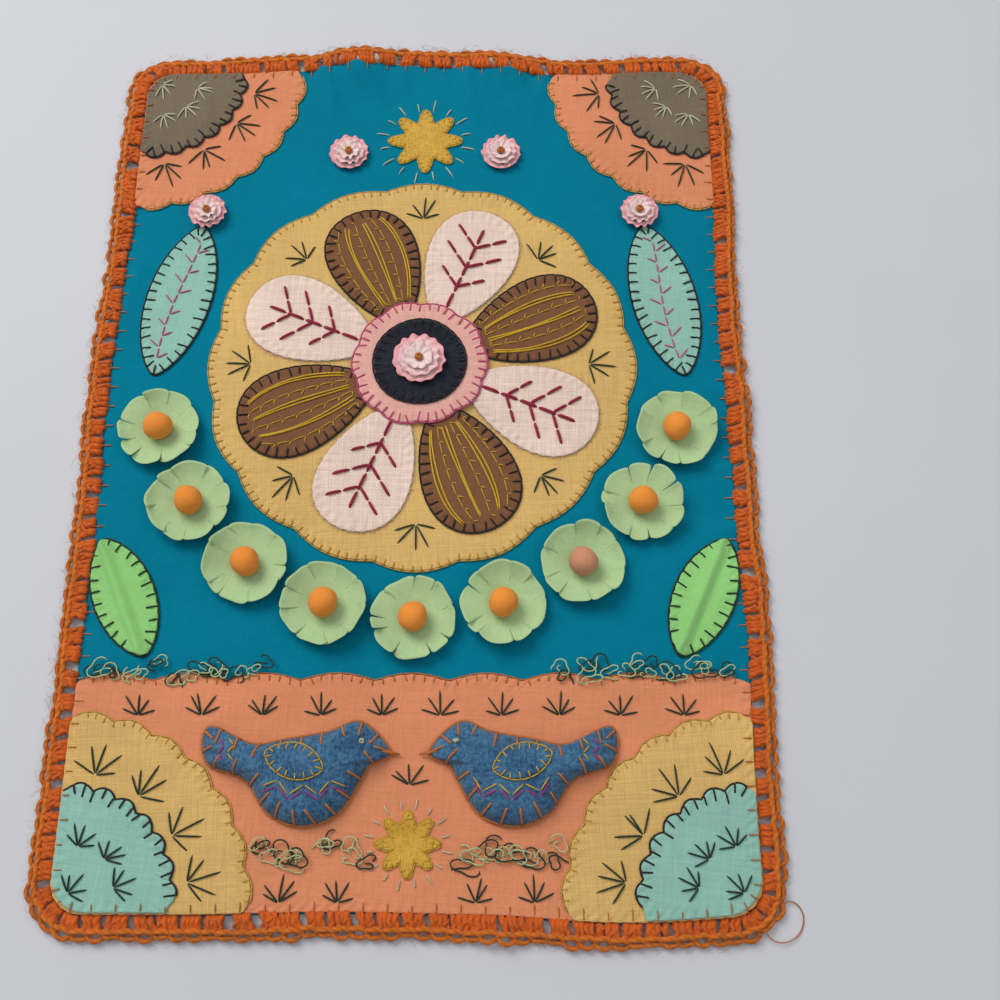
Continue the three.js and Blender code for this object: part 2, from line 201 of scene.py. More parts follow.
# The two legs of a chain link: how far each swings out, its height, and half its thickness
CHAIN_LEGS = [
    {"least": -1.2, "most": -0.7, "rise": 2.7, "arch": 1.3, "drop": 0.7, "girth": 1.15},
    {"least": 1.3, "most": 3.0, "rise": 1.9, "arch": 0.7, "drop": 0.5, "girth": 0.98},
]

# The tick that each group takes in the cloth, and a loose thread past a lower corner
TICK = {"out": 0.8, "length": 5.6, "radius": 0.27}
LOOSE_THREAD = {
    "x": 147.0, "y": -198.0, "wide": 5.8, "tall": 5.5,
    "left": 7.0, "down": 8.0, "radius": 0.26,
}

# The layout's origin in the frame, from the middle ball of the garland
ball_low, ball_high = (np.array(corner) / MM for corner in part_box("ball_5"))
garland_middle = CENTRE - [0, BLOSSOM["arc"]]
SHIFT = np.append(((ball_low + ball_high) / 2)[:2] - garland_middle, 0)


# Finishes


class Dye:
    """A socket in one material's node tree. Arithmetic on it adds Math nodes."""

    def __init__(self, tree, socket=None):
        self.tree = tree
        self.socket = socket

    def node(self, kind, settings, inputs, output=0):
        """Adds a node: its settings first, then the values or links of its sockets."""
        made = self.tree.nodes.new(kind)
        for key, value in settings.items():
            setattr(made, key, value)
        for key, value in inputs.items():
            if isinstance(value, Dye):
                self.tree.links.new(value.socket, made.inputs[key])
            else:
                made.inputs[key].default_value = value
        return Dye(self.tree, made.outputs[output]) if made.outputs else None

    def maths(self, operation, first, second=0.0):
        """Adds a Math node for one or two values."""
        return self.node("ShaderNodeMath", {"operation": operation}, {0: first, 1: second})

    def __add__(self, other):
        return self.maths("ADD", self, other)

    def __sub__(self, other):
        return self.maths("SUBTRACT", self, other)

    def __rsub__(self, other):
        return self.maths("SUBTRACT", other, self)

    def __mul__(self, other):
        return self.maths("MULTIPLY", self, other)

    def __pow__(self, other):
        return self.maths("POWER", self, other)

    __radd__ = __add__
    __rmul__ = __mul__

    def sine(self):
        """The sine of this value."""
        return self.maths("SINE", self)

    def size(self):
        """This value without its sign."""
        return self.maths("ABSOLUTE", self)

    def mix(self, first, second):
        """Blends two colours by this value."""
        inputs = {"Factor": self, 6: first, 7: second}
        return self.node("ShaderNodeMix", {"data_type": "RGBA"}, inputs, 2)

    def stretched(self, scale, turn=0.0):
        """These coordinates scaled and then turned about Z."""
        turned = {"Vector": self, "Rotation": (0, 0, turn), "Scale": scale}
        return self.node("ShaderNodeMapping", {"vector_type": "POINT"}, turned)

    def noise(self, scale, detail=2.0, rough=0.5):
        """Cloudy noise at these coordinates, from 0 to 1."""
        inputs = {"Vector": self, "Scale": scale, "Detail": detail, "Roughness": rough}
        return self.node("ShaderNodeTexNoise", {}, inputs)

    def axis(self, output):
        """One of these coordinates: 0 for X, 1 for Y."""
        return self.node("ShaderNodeSeparateXYZ", {}, {"Vector": self}, output)


def shade(colour, factor=1.0):
    """A colour with its strength scaled, with full alpha."""
    return (*(min(1.0, c * factor) for c in colour), 1.0)


def finish_of(name):
    """A new material with its node tree emptied, and a Dye to build it with."""
    material = bpy.data.materials.new(name)
    material.use_nodes = True
    material.node_tree.nodes.clear()
    return material, Dye(material.node_tree)


def close(dye, colour, roughness, height, relief, sheen=0.0, shine=0.2):
    """Joins colour, roughness and a height, scaled by its relief in metres, to the surface shader."""
    bump = dye.node("ShaderNodeBump", {}, {"Strength": 1.0, "Distance": relief, "Height": height})
    inputs = {
        "Base Color": colour,
        "Roughness": roughness,
        "Normal": bump,
        "Specular IOR Level": shine,
        "Sheen Weight": sheen,
        "Sheen Roughness": 0.5,
    }
    shader = dye.node("ShaderNodeBsdfPrincipled", {}, inputs)
    dye.node("ShaderNodeOutputMaterial", {}, {"Surface": shader})


def woven(name, colour, pitch=0.5, grain=0.0, slub=0.14, fade=0.12, coarse=0.0, shine=0.2):
    """Plain-woven cotton: crossing threads, uneven slubs along both, and slow fading."""
    material, dye = finish_of(name)
    place = dye.node("ShaderNodeTexCoord", {}, {}, "Object")
    turned = place.stretched((1, 1, 1), grain)
    across = (turned.axis(0) * (math.pi / (pitch * MM))).sine()
    along = (turned.axis(1) * (math.pi / (pitch * MM))).sine()
    crossing = across * along
    warp = turned.stretched((2600, 60, 60)).noise(1.0, 2.0)
    weft = turned.stretched((60, 2600, 60)).noise(1.0, 2.0)
    slubs = warp + weft - 1.0
    worn = place.noise(28.0, 4.0, 0.6) + place.noise(9.0, 2.0) * 0.8 - 0.9
    fluff = place.noise(900.0, 2.0) - 0.5
    tone = 0.5 + slubs * (slub * 4) + worn * (fade * 4) + crossing * (0.08 + coarse) + fluff * 0.25
    body = tone.mix(shade(colour, 0.72), shade(colour, 1.28))
    rumple = place.noise(70.0, 2.0) * 9.0
    height = crossing.size() * 0.5 + slubs * 0.8 + fluff * 0.8 + rumple
    close(dye, body, 0.85 + worn * 0.15, height, relief=0.00012, sheen=shine * 0.3, shine=shine)
    return material


def felted(name, colour, tip, pill=1.0):
    """Felt: matted fibres in all directions, pilled and brushed lighter in places."""
    material, dye = finish_of(name)
    place = dye.node("ShaderNodeTexCoord", {}, {}, "Object")
    matted = place.noise(650.0, 4.0, 0.65) - 0.5
    brushed = place.noise(75.0, 4.0, 0.65) - 0.5
    hairs = place.stretched((1500, 260, 800), 0.6).noise(1.0, 3.0) - 0.5
    tone = 0.5 + matted * (2.6 * pill) + brushed * 1.5 + hairs * 1.0
    body = tone.mix(shade(colour, 0.8), shade(tip))
    height = matted * 0.8 + brushed * pill * 1.5 + hairs * 0.5
    close(dye, body, 0.95 - brushed * 0.1, height, relief=0.001, sheen=0.2)
    return material


def twisted(name, colour, plies=2.0, turn=0.9, depth=0.35, tone=0.3, relief=0.00022):
    """Thread or yarn: plies that wind along the strand, with fibres that run along them, from its own
    map of turn and length. Its colour holds painted shade in the grooves between the plies and a painted
    highlight on their crests, as strong as depth."""
    material, dye = finish_of(name)
    strand = dye.node("ShaderNodeUVMap", {"uv_map": "strand"}, {})
    place = dye.node("ShaderNodeTexCoord", {}, {}, "Object")
    around = strand.axis(0) * TURN + strand.axis(1) * (TURN * turn / plies)
    wind = (around * plies).sine()
    apart = place.axis(0) * 37.0 + place.axis(1) * 41.0
    ring = {"X": around.sine(), "Y": (around + TURN / 4).sine(), "Z": strand.axis(1) * 0.1 + apart}
    fibres = dye.node("ShaderNodeCombineXYZ", {}, ring).noise(4.5, 4.0, 0.7) - 0.5
    patchy = place.noise(120.0, 3.0) - 0.5
    # wind * depth is painted shade in the grooves between plies and painted highlight on their crests
    groove_shade_and_tone = 0.5 + wind * depth + fibres * 1.1 + patchy * tone * 2
    body = groove_shade_and_tone.mix(shade(colour, 0.62), shade(colour, 1.3))
    close(dye, body, 0.75 + fibres * 0.2, wind * 0.5 + fibres * 1.2, relief, sheen=0.15)
    return material


def frilled(name, pale, deep):
    """Ribbon, pale inside and deep at its frilled rim, most in the outer frill, from its own map."""
    material, dye = finish_of(name)
    strand = dye.node("ShaderNodeUVMap", {"uv_map": "strand"}, {})
    place = dye.node("ShaderNodeTexCoord", {}, {}, "Object")
    speckle = place.noise(700.0, 2.0) - 0.5
    rim = strand.axis(1) ** 2.0 * (1.0 - strand.axis(0) * 0.65) + speckle * 0.2
    body = rim.mix(shade(pale), shade(deep))
    close(dye, body, 0.8 + speckle * 0.1, speckle, relief=0.0002, sheen=0.1)
    return material


def table_top(name, colour):
    """A plain pale table, very slightly mottled."""
    material, dye = finish_of(name)
    place = dye.node("ShaderNodeTexCoord", {}, {}, "Object")
    mottle = place.noise(9.0, 3.0)
    body = mottle.mix(shade(colour, 0.97), shade(colour, 1.03))
    close(dye, body, 0.55 + mottle * 0.05, mottle, relief=0.00005)
    return material


COTTONS = {
    "teal_cotton": {
        "colour": (0.001, 0.19, 0.29), "grain": 0.02,
        "slub": 0.07, "fade": 0.1, "shine": 0.04,
    },
    "salmon_cotton": {"colour": (0.72, 0.26, 0.125), "grain": 0.06},
    "taupe_cotton": {"colour": (0.19, 0.146, 0.096), "grain": -0.1, "fade": 0.2},
    "mint_cotton": {"colour": (0.275, 0.515, 0.425), "grain": 0.12, "fade": 0.08},
    "straw_cotton": {"colour": (0.67, 0.425, 0.14), "pitch": 0.65, "grain": -0.05, "slub": 0.2},
    "brown_cotton": {"colour": (0.195, 0.083, 0.036), "grain": 0.2},
    "cream_cotton": {
        "colour": (0.8, 0.61, 0.51), "pitch": 0.75, "grain": 0.03,
        "slub": 0.24, "coarse": 0.12,
    },
    "pink_cotton": {"colour": (0.76, 0.4, 0.34), "pitch": 0.6, "slub": 0.16},
    "pale_green_cotton": {"colour": (0.43, 0.6, 0.3), "grain": 0.3, "slub": 0.06, "fade": 0.1},
    "bright_green_cotton": {"colour": (0.28, 0.61, 0.19), "grain": 0.5, "slub": 0.06},
    "orange_cotton": {"colour": (1.0, 0.29, 0.042), "pitch": 0.45, "slub": 0.08, "fade": 0.14},
    "peach_cotton": {"colour": (0.6, 0.27, 0.15), "pitch": 0.45, "slub": 0.08, "fade": 0.14},
}
FELTS = {
    "blue_felt": {"colour": (0.02, 0.08, 0.18), "tip": (0.075, 0.21, 0.36)},
    "gold_felt": {"colour": (0.6, 0.33, 0.03), "tip": (0.8, 0.48, 0.08), "pill": 0.4},
    "navy_felt": {"colour": (0.006, 0.007, 0.014), "tip": (0.018, 0.02, 0.035), "pill": 0.5},
}
# depth: how strong the painted shade in the ply grooves and the painted highlight on their crests are
YARNS = {
    "posts": {"colour": (0.76, 0.128, 0.004), "turn": 0.28, "depth": 0.22, "relief": 0.0005},
    "chain": {"colour": (0.82, 0.185, 0.007), "turn": 0.28, "depth": 0.22, "relief": 0.0005},
    "fuzz": {"colour": (0.85, 0.3, 0.06), "plies": 1.0, "turn": 0.2, "depth": 0.1, "tone": 0.2},
}

# Threads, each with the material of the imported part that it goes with
THREADS = {
    "black": {"colour": (0.012, 0.011, 0.012), "slot": "navy_felt"},
    "dark_green": {"colour": (0.012, 0.042, 0.02), "slot": "mint_cotton"},
    "pale_green": {"colour": (0.6, 0.72, 0.36), "slot": "pale_green_cotton"},
    "cream": {"colour": (0.66, 0.64, 0.42), "slot": "cream_cotton"},
    "yellow": {"colour": (0.78, 0.46, 0.02), "slot": "gold_felt"},
    "straw": {"colour": (0.74, 0.42, 0.06), "slot": "straw_cotton"},
    "crimson": {"colour": (0.36, 0.012, 0.045), "slot": "pink_ribbon"},
    "pink": {"colour": (0.72, 0.09, 0.24), "slot": "pink_ribbon"},
    "magenta": {"colour": (0.5, 0.03, 0.22), "slot": "pink_ribbon"},
    "orange": {"colour": (0.62, 0.19, 0.03), "slot": "orange_yarn"},
    "raw_cream": {"colour": (0.8, 0.66, 0.56), "slot": "cream_cotton"},
}
CLOTH = {name: woven(name, **row) for name, row in COTTONS.items()}
CLOTH.update({name: felted(name, **row) for name, row in FELTS.items()})
YARN = {name: twisted(f"orange_yarn_{name}", **row) for name, row in YARNS.items()}
THREAD = {name: twisted(f"{name}_thread", row["colour"]) for name, row in THREADS.items()}
RIBBON = frilled("pink_ribbon", pale=(0.86, 0.74, 0.7), deep=(0.86, 0.3, 0.34))


# Making meshes


def put(name, points, faces, material, slot, corner_map=None):
    """Makes a piece of points in millimetres and of arrays of faces, and lets it ride on the body."""
    mesh = bpy.data.meshes.new(name)
    corners = np.concatenate([f.ravel() for f in faces])
    counts = np.concatenate([np.full(len(f), f.shape[1]) for f in faces])
    starts = np.cumsum(counts) - counts
    mesh.vertices.add(len(points))
    mesh.vertices.foreach_set("co", ((points + SHIFT) * MM).astype(np.float32).ravel())
    mesh.loops.add(len(corners))
    mesh.loops.foreach_set("vertex_index", corners.astype(np.int32))
    mesh.polygons.add(len(counts))
    mesh.polygons.foreach_set("loop_start", starts.astype(np.int32))
    if corner_map is not None:
        layer = mesh.uv_layers.new(name="strand")
        layer.data.foreach_set("uv", corner_map.astype(np.float32).ravel())
    mesh.update(calc_edges=True)
    mesh.shade_smooth()
    mesh.materials.append(material)
    piece = bpy.data.objects.new(name, mesh)
    bpy.context.scene.collection.objects.link(piece)
    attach(piece, "root")
    return piece


def thicken(piece, thickness):
    """Gives an open skin the thickness of its cloth, half of it to each side."""
    wall = piece.modifiers.new("cloth", "SOLIDIFY")
    wall.thickness = thickness * MM
    wall.offset = 0


def loop_quads(index):
    """Quads between neighbouring rows of an index grid whose columns close on themselves."""
    ahead = np.roll(index, -1, axis=-1)
    row = [index[..., :-1, :], ahead[..., :-1, :]]
    next_row = [ahead[..., 1:, :], index[..., 1:, :]]
    return np.stack(row + next_row, axis=-1).reshape(-1, 4)


def capped(rows, under, over):
    """A closed skin through rows of loops, from a point under them to a point over them."""
    count, around, _ = rows.shape
    points = np.concatenate([rows.reshape(-1, 3), [under], [over]])
    index = np.arange(count * around).reshape(count, around)
    ahead = np.roll(index, -1, axis=1)
    low = np.stack([np.full(around, count * around), ahead[0], index[0]], axis=1)
    high = np.stack([index[-1], ahead[-1], np.full(around, count * around + 1)], axis=1)
    return points, [loop_quads(index), low, high]


def strands(paths, radius, sides):
    """Round strands along paths given as (strand, step, xyz): at each step a ring of points stands
    square to the path, drawn in at both ends. The map holds the turn round and the length along."""
    paths = np.asarray(paths, float)
    count, steps, _ = paths.shape
    ahead = np.gradient(paths, axis=1)
    ahead /= np.linalg.norm(ahead, axis=2, keepdims=True) + 1e-9
    side = np.cross(ahead, UP)
    side /= np.linalg.norm(side, axis=2, keepdims=True) + 1e-9
    lift = np.cross(side, ahead)
    angle = (np.arange(sides) / sides * TURN)[:, None]
    end = np.ones(steps)
    end[[0, -1]] = 0.45
    girth = np.broadcast_to(radius, (count, steps)) * end
    ring = np.cos(angle) * side[:, :, None] + np.sin(angle) * lift[:, :, None]
    points = (paths[:, :, None] + girth[:, :, None, None] * ring).reshape(-1, 3)
    index = np.arange(count * steps * sides).reshape(count, steps, sides)
    quads = loop_quads(index)[:, ::-1]
    caps = np.concatenate([index[:, 0], index[:, -1, ::-1]])
    length = np.linalg.norm(np.diff(paths, axis=1), axis=2).cumsum(axis=1)
    length = np.concatenate([np.zeros((count, 1)), length], axis=1)
    along = np.broadcast_to(length[:, :, None], (count, steps, sides + 1))
    round_it = np.broadcast_to(np.arange(sides + 1) / sides, (count, steps, sides + 1))
    grid = np.stack([round_it, along], axis=-1)
    next_step = [grid[:, 1:, :-1], grid[:, 1:, 1:]]
    step = [grid[:, :-1, 1:], grid[:, :-1, :-1]]
    return points, quads, caps, np.stack(next_step + step, axis=3).reshape(-1, 2)


def bundle(name, groups, material, slot, sides):
    """One piece of many strands, from groups of paths that each have a radius."""
    points, quads, caps, maps = zip(*(strands(paths, radius, sides) for paths, radius in groups))
    firsts = np.cumsum([0, *map(len, points)])
    quads = np.concatenate([faces + first for faces, first in zip(quads, firsts)])
    caps = np.concatenate([faces + first for faces, first in zip(caps, firsts)])
    corner_map = np.concatenate([*maps, np.zeros((caps.size, 2))])
    return put(name, np.concatenate(points), [quads, caps], material, slot, corner_map)


# Lines, outlines and the lie of the cloth


def polar(angle):
    """Unit directions at angles."""
    return np.stack([np.cos(angle), np.sin(angle)], axis=-1)


def left_of(way):
    """Directions turned a quarter to the left."""
    return np.stack([-way[..., 1], way[..., 0]], axis=-1)


def closed_line(points):
    """An outline with its first point once more at its end."""
    return np.vstack([points, points[:1]])


def lengths_along(line):
    """Length along a line up to each of its points."""
    return np.concatenate([[0], np.linalg.norm(np.diff(line, axis=0), axis=1).cumsum()])


def points_at(where, lengths, line):
    """Points of a line at given lengths along it."""
    return np.stack([np.interp(where, lengths, line[:, k]) for k in (0, 1)], axis=-1)


def spaced(points, count):
    """A closed outline set out again as evenly spaced points."""
    line = closed_line(points)
    lengths = lengths_along(line)
    return points_at(np.linspace(0, lengths[-1], count, endpoint=False), lengths, line)


def along_line(line, step):
    """Points at even steps along an open line."""
    lengths = lengths_along(line)
    count = max(2, round(lengths[-1] / step) + 1)
    return points_at(np.linspace(0, lengths[-1], count), lengths, line)


def across_line(points):
    """Unit directions to the left of an open line."""
    left = left_of(np.gradient(points, axis=0))
    return left / (np.linalg.norm(left, axis=1, keepdims=True) + 1e-9)


def perimeter(points):
    """Length round an outline."""
    return np.linalg.norm(points - np.roll(points, -1, axis=0), axis=1).sum()


def flat_area(points):
    """Area inside an outline, by the shoelace sum."""
    ahead = np.roll(points, -1, axis=0)
    return abs((points[:, 0] * ahead[:, 1] - points[:, 1] * ahead[:, 0]).sum()) / 2


def outward(points):
    """Unit directions out of an outline that runs anticlockwise."""
    step = np.roll(points, -1, axis=0) - np.roll(points, 1, axis=0)
    out = -left_of(step)
    return out / np.linalg.norm(out, axis=1, keepdims=True)


def steady(directions, span):
    """Directions round an outline, each evened out with its neighbours up to a span away."""
    total = sum(np.roll(directions, k, axis=0) for k in range(-span, span + 1))
    return total / np.linalg.norm(total, axis=1, keepdims=True)


def humps(rows, x, y):
    """Sum of smooth humps, each (1 - d * d) squared out to its reach."""
    total = np.zeros(np.shape(x))
    for row in rows:
        share = np.minimum(((x - row["x"]) ** 2 + (y - row["y"]) ** 2) / row["reach"] ** 2, 1)
        total += row["size"] * (1 - share) ** 2
    return total


def creases(x, y):
    """Sum of soft ridges: each is a bell across its line and fades towards the far end of it."""
    total = np.zeros(np.shape(x))
    for row in CREASES:
        run = np.array([row["x1"] - row["x0"], row["y1"] - row["y0"]])
        share = ((x - row["x0"]) * run[0] + (y - row["y0"]) * run[1]) / (run @ run)
        held = np.clip(share, 0, 1)
        away = np.hypot(x - row["x0"] - held * run[0], y - row["y0"] - held * run[1])
        fade = np.cos(held * TURN / 4) ** 0.6
        total += row["height"] * fade * np.exp(-((away / row["width"]) ** 2))
    return total


def lifts(x, y):
    """How far the cloth's edge buckles off the table."""
    return humps(EDGE_LIFTS, x, y)


def drape(x, y):
    """Slack of the cloth on the table: slow waves, from nothing to about 0.9 mm, and the lifts."""
    slow = 0.2 * np.sin(x / 23 + 0.7) * np.cos(y / 31) + 0.14 * np.sin((x + 1.7 * y) / 17 + 1.3)
    quick = 0.1 * np.sin((1.9 * x - y) / 9) * np.sin((x + y) / 37)
    return 0.44 + slow + quick + lifts(x, y)


def bare_ground(x, y):
    """Height of the ground cloth's face where no patch covers it."""
    return CLOTH_THICK + drape(x, y) + creases(x, y)


def level(layers):
    """A bed for a patch that has the given number of cloth layers under it."""
    height = CLOTH_THICK + SEAM_GAP + (layers - 1) * (PATCH_THICK + SEAM_GAP)
    return lambda x, y: height + drape(x, y)


def top_of(bed, thick=PATCH_THICK):
    """The face of what lies on a bed."""
    return lambda x, y: bed(x, y) + thick


def on(bed, flat):
    """Heights of a bed at places on the cloth."""
    return bed(flat[..., 0], flat[..., 1])


def at_height(flat, height):
    """Points over places on the cloth, at the given heights."""
    return np.concatenate([flat, height[..., None]], axis=-1)


def skin(flat, height, under_rows, bed, middle, middle_height):
    """A closed skin: rows of places at their heights, some of these rows once more on the bed under
    them, and both sides drawn to the middle."""
    under = flat[under_rows]
    rows = np.concatenate([at_height(under, on(bed, under)), at_height(flat, height)])
    return capped(rows, np.append(middle, bed(*middle)), np.append(middle, middle_height))


def hand_cut(angle, seed):
    """Unevenness of a scissor cut, as a share of the radius: two slow sines round it."""
    return 1 + 0.008 * np.sin(3 * angle + seed) + 0.006 * np.sin(5 * angle + 2.3 * seed)


def cloth_edge(count):
    """The cloth's edge: a rectangle with round corners, moved outwards by its waves."""
    r = CORNER_RADIUS
    arc = np.linspace(0, TURN / 4, 24)
    corners = [(1, 1), (-1, 1), (-1, -1), (1, -1)]
    turns = [
        np.array([sx * (HALF_WIDTH - r), sy * (HALF_HEIGHT - r)]) + r * polar(arc + k * TURN / 4)
        for k, (sx, sy) in enumerate(corners)
    ]
    points = spaced(np.concatenate(turns), count)
    out = outward(points)
    wave = humps(EDGE_WAVES, points[:, 0], points[:, 1])
    return points + out * wave[:, None], out


def disc_outline(sizes, seed):
    """A disc about the medallion's centre: its radius waves by the size of a cosine, once a lobe."""
    angle = np.linspace(0, TURN, 960, endpoint=False)
    wave = sizes["scallop"] * (np.abs(np.cos(sizes["lobes"] * angle / 2)) - 0.5)
    reach = sizes["radius"] * hand_cut(angle, seed) + wave
    return CENTRE + reach[:, None] * polar(angle)


def fan_outline(radius, inset, sx, sy):
    """A quarter disc in a corner of the cloth: a scalloped arc, then straight sides and a round corner
    that follow the waves of the cloth's edge."""
    r = CORNER_RADIUS
    angle = np.linspace(0, TURN / 4, 240)
    reach = radius + FAN["scallop"] * (np.abs(np.sin(2 * FAN["lobes"] * angle)) - 0.5)
    turn = TURN / 2 + np.linspace(0, TURN / 4, 20)
    down = np.linspace(reach[-1], r, 30)[1:-1]
    nil = np.zeros(down.size)
    from_side = np.concatenate([reach * np.cos(angle), nil, r + r * np.cos(turn), down[::-1]])
    from_end = np.concatenate([reach * np.sin(angle), down, r + r * np.sin(turn), nil])
    push_x = np.concatenate([0 * angle, nil + 1, -np.cos(turn), nil])
    push_y = np.concatenate([0 * angle, nil, -np.sin(turn), nil + 1])
    x = HALF_WIDTH - inset - from_side
    y = HALF_HEIGHT - inset - from_end
    wave = humps(EDGE_WAVES, sx * x, sy * y) + 0.7 * inset
    points = np.stack([sx * (x + push_x * wave), sy * (y + push_y * wave)], axis=1)
    return points if sx * sy > 0 else points[::-1]


def field_outline():
    """The lower field: a scalloped top edge, then sides, round corners and a foot that follow the waves
    of the cloth's edge."""
    r = CORNER_RADIUS
    right = HALF_WIDTH - FIELD["inset"]
    foot = -HALF_HEIGHT + FIELD["inset"]
    share = np.linspace(0, 1, 360)
    wave = FIELD["scallop"] * (np.abs(np.sin(FIELD["lobes"] * math.pi * share)) - 0.5)
    turn = np.linspace(TURN / 2, 0.75 * TURN, 20)
    turn_right = turn + TURN / 4
    down = np.linspace(FIELD["top"], foot + r, 30)[1:-1]
    along = np.linspace(r - right, right - r, 80)[1:-1]
    side = np.zeros(down.size)
    flat = np.zeros(along.size)
    x = np.concatenate([
        right * (1 - 2 * share), side - right, r - right + r * np.cos(turn),
        along, right - r + r * np.cos(turn_right), side + right,
    ])
    y = np.concatenate([
        FIELD["top"] + wave, down, foot + r + r * np.sin(turn),
        flat + foot, foot + r + r * np.sin(turn_right), down[::-1],
    ])
    push_x = np.concatenate([0 * share, side - 1, np.cos(turn), flat, np.cos(turn_right), side + 1])
    push_y = np.concatenate([0 * share, side, np.sin(turn), flat - 1, np.sin(turn_right), side])
    out = humps(EDGE_WAVES, x, y) + 0.7 * FIELD["inset"]
    return np.stack([x + push_x * out, y + push_y * out], axis=1)


def placed(along, across, angle, root):
    """Points given along and across a line from a root at an angle."""
    ahead = np.array([math.cos(angle), math.sin(angle)])
    return root + along[..., None] * ahead + across[..., None] * left_of(ahead)


def petal_outline(angle, root):
    """An egg shape: its half width is a sine that swells towards the tip."""
    turn = -np.linspace(0, TURN, 320, endpoint=False)
    along = (1 - np.cos(turn)) / 2
    across = 0.5 * PETAL["width"] * np.sin(turn) * (0.6 + 0.5 * along)
    return placed(PETAL["length"] * along, across, angle, root)


def leaf_outline(length, width, angle, root):
    """A leaf: its half width is a sine to the power 1.4, so both ends are drawn to a point."""
    turn = -np.linspace(0, TURN, 320, endpoint=False)
    along = (1 - np.cos(turn)) / 2
    across = 0.5 * width * np.sin(turn) * np.abs(np.sin(turn)) ** 0.4
    return placed(length * along, across, angle, root)


def star_outline(row):
    """Eight soft points: the radius waves by a cosine of eight turns."""
    angle = np.linspace(0, TURN, 480, endpoint=False)
    reach = row["radius"] * (0.8 + 0.2 * np.cos(8 * angle)) * hand_cut(angle, row["radius"])
    return np.array([row["x"], row["y"]]) + reach[:, None] * polar(angle)


def bird_outline(sign):
    """A closed Catmull-Rom curve through the bird's points, turned to face the middle."""
    p = np.array(BIRD_OUTLINE, float)
    t = np.linspace(0, 1, 24, endpoint=False)[None, :, None]
    p0, p1, p2, p3 = (np.roll(p, k, axis=0)[:, None] for k in (1, 0, -1, -2))
    bend = 2 * p0 - 5 * p1 + 4 * p2 - p3
    twist = 3 * p1 - p0 - 3 * p2 + p3
    curve = 0.5 * (2 * p1 + (p2 - p0) * t + bend * t**2 + twist * t**3)
    points = curve.reshape(-1, 2) * [-sign, 1]
    return points[::-1] if sign > 0 else points


# Stitches

STITCH_SAMPLES = 6

# A blanket stitch's leg, from its hole to the edge: shares of its depth, and heights in thread radii
LEG_DEPTHS = np.array([1.0, 0.9, 0.6, 0.3, 0.08, -0.05])
LEG_RISES = np.array([-1.2, 0.5, 0.7, 0.7, 0.6, 0.3])

sewn = {}


def sew(colour, paths, radius):
    """Keeps paths of one thread colour, to be made as one piece at the end."""
    sewn.setdefault(colour, []).append((np.asarray(paths, float), radius))


def rim_height(depth, thick=PATCH_THICK, turned=1.2):
    """Height of a turned edge above its bed: a quarter round that is full from its turn inwards."""
    share = np.clip(depth / turned, 0, 1)
    return thick * np.sqrt(1 - (1 - share) ** 2)


def stitch_count(outline, pitch):
    """How many stitches of a pitch go round an outline."""
    return max(6, round(perimeter(outline) / pitch))


def blanket(colour, outline, bed, pitch=5.0, tick=4.6, radius=0.4, thick=PATCH_THICK, keep=None):
    """Blanket stitch: each path comes up inside the edge, runs square out over it, and then along
    the edge to the next stitch."""
    count = stitch_count(outline, pitch)
    points = spaced(outline, count * STITCH_SAMPLES)
    out = outward(points)
    at = np.arange(count) * STITCH_SAMPLES
    deep = tick * rng.uniform(0.8, 1.15, count)[:, None] * LEG_DEPTHS
    square = steady(out, STITCH_SAMPLES)[at, None]
    lean = rng.normal(0, 0.12, count)[:, None, None] * left_of(square)
    leg = points[at, None] + (lean - square) * deep[..., None]
    leg_height = on(bed, leg) + rim_height(deep, thick) + radius * LEG_RISES
    run_at = (at[:, None] + np.arange(1, STITCH_SAMPLES + 1)) % len(points)
    run = points[run_at] + out[run_at] * 0.25
    run_height = on(bed, run) + 0.45
    paths = np.concatenate([at_height(leg, leg_height), at_height(run, run_height)], axis=1)
    if keep is not None:
        paths = paths[keep(points[at, 0], points[at, 1])]
    sew(colour, paths, radius)


def fray(colour, outline, bed, pitch=0.9, radius=0.11):
    """A raw edge: short threads that stick out of it at all slants."""
    points = spaced(outline, round(perimeter(outline) / pitch))
    count = len(points)
    out = outward(points)
    way = out + rng.normal(0, 0.6, (count, 1)) * left_of(out)
    length = np.abs(rng.normal(0.5, 0.5, (count, 1, 1))) + 0.2
    share = np.array([-0.4, 0.3, 1.0])[None, :, None]
    flat = points[:, None] + way[:, None] * length * share
    rise = rng.uniform(0.3, 1.0, (count, 1)) * np.array([1.0, 0.9, 0.4])
    sew(colour, at_height(flat, on(bed, flat) + rise), radius)


def straight(colour, starts, ends, top, radius=0.42, steps=6, arch=0.35):
    """Straight stitches: from start to end over the cloth's top, diving in at both ends."""
    share = np.linspace(0, 1, steps)
    flat = starts[:, None] + (ends - starts)[:, None] * share[:, None]
    rise = radius * 0.6 + arch * np.sin(share * TURN / 2)
    rise[[0, -1]] = -radius
    sew(colour, at_height(flat, on(top, flat) + rise), radius)


def sprigs(colour, places, headings, size, top, radius=0.4):
    """Sprigs of five spokes that fan out from one hole."""
    places = np.asarray(places, float)
    spread = np.radians([-68, -34, 0, 34, 68])
    reach = np.array([0.78, 0.92, 1.0, 0.92, 0.78])
    spokes = (len(places), len(spread))
    angle = np.asarray(headings)[:, None] + spread + rng.normal(0, 0.1, spokes)
    length = size * reach * rng.uniform(0.82, 1.12, spokes)
    tips = places[:, None] + length[..., None] * polar(angle)
    roots = np.broadcast_to(places[:, None], tips.shape)
    straight(colour, roots.reshape(-1, 2), tips.reshape(-1, 2), top, radius)


def in_turn(count):
    """Signs for the right and the left in turn."""
    return np.where(np.arange(count) % 2, 1.0, -1.0)[:, None]


def back_stitch(colour, line, top, step, radius):
    """Back stitch: straight stitches along a line, each a little longer than its step."""
    points = along_line(line, step)
    straight(colour, points[:-1], points[1:] + (points[1:] - points[:-1]) * 0.03, top, radius)


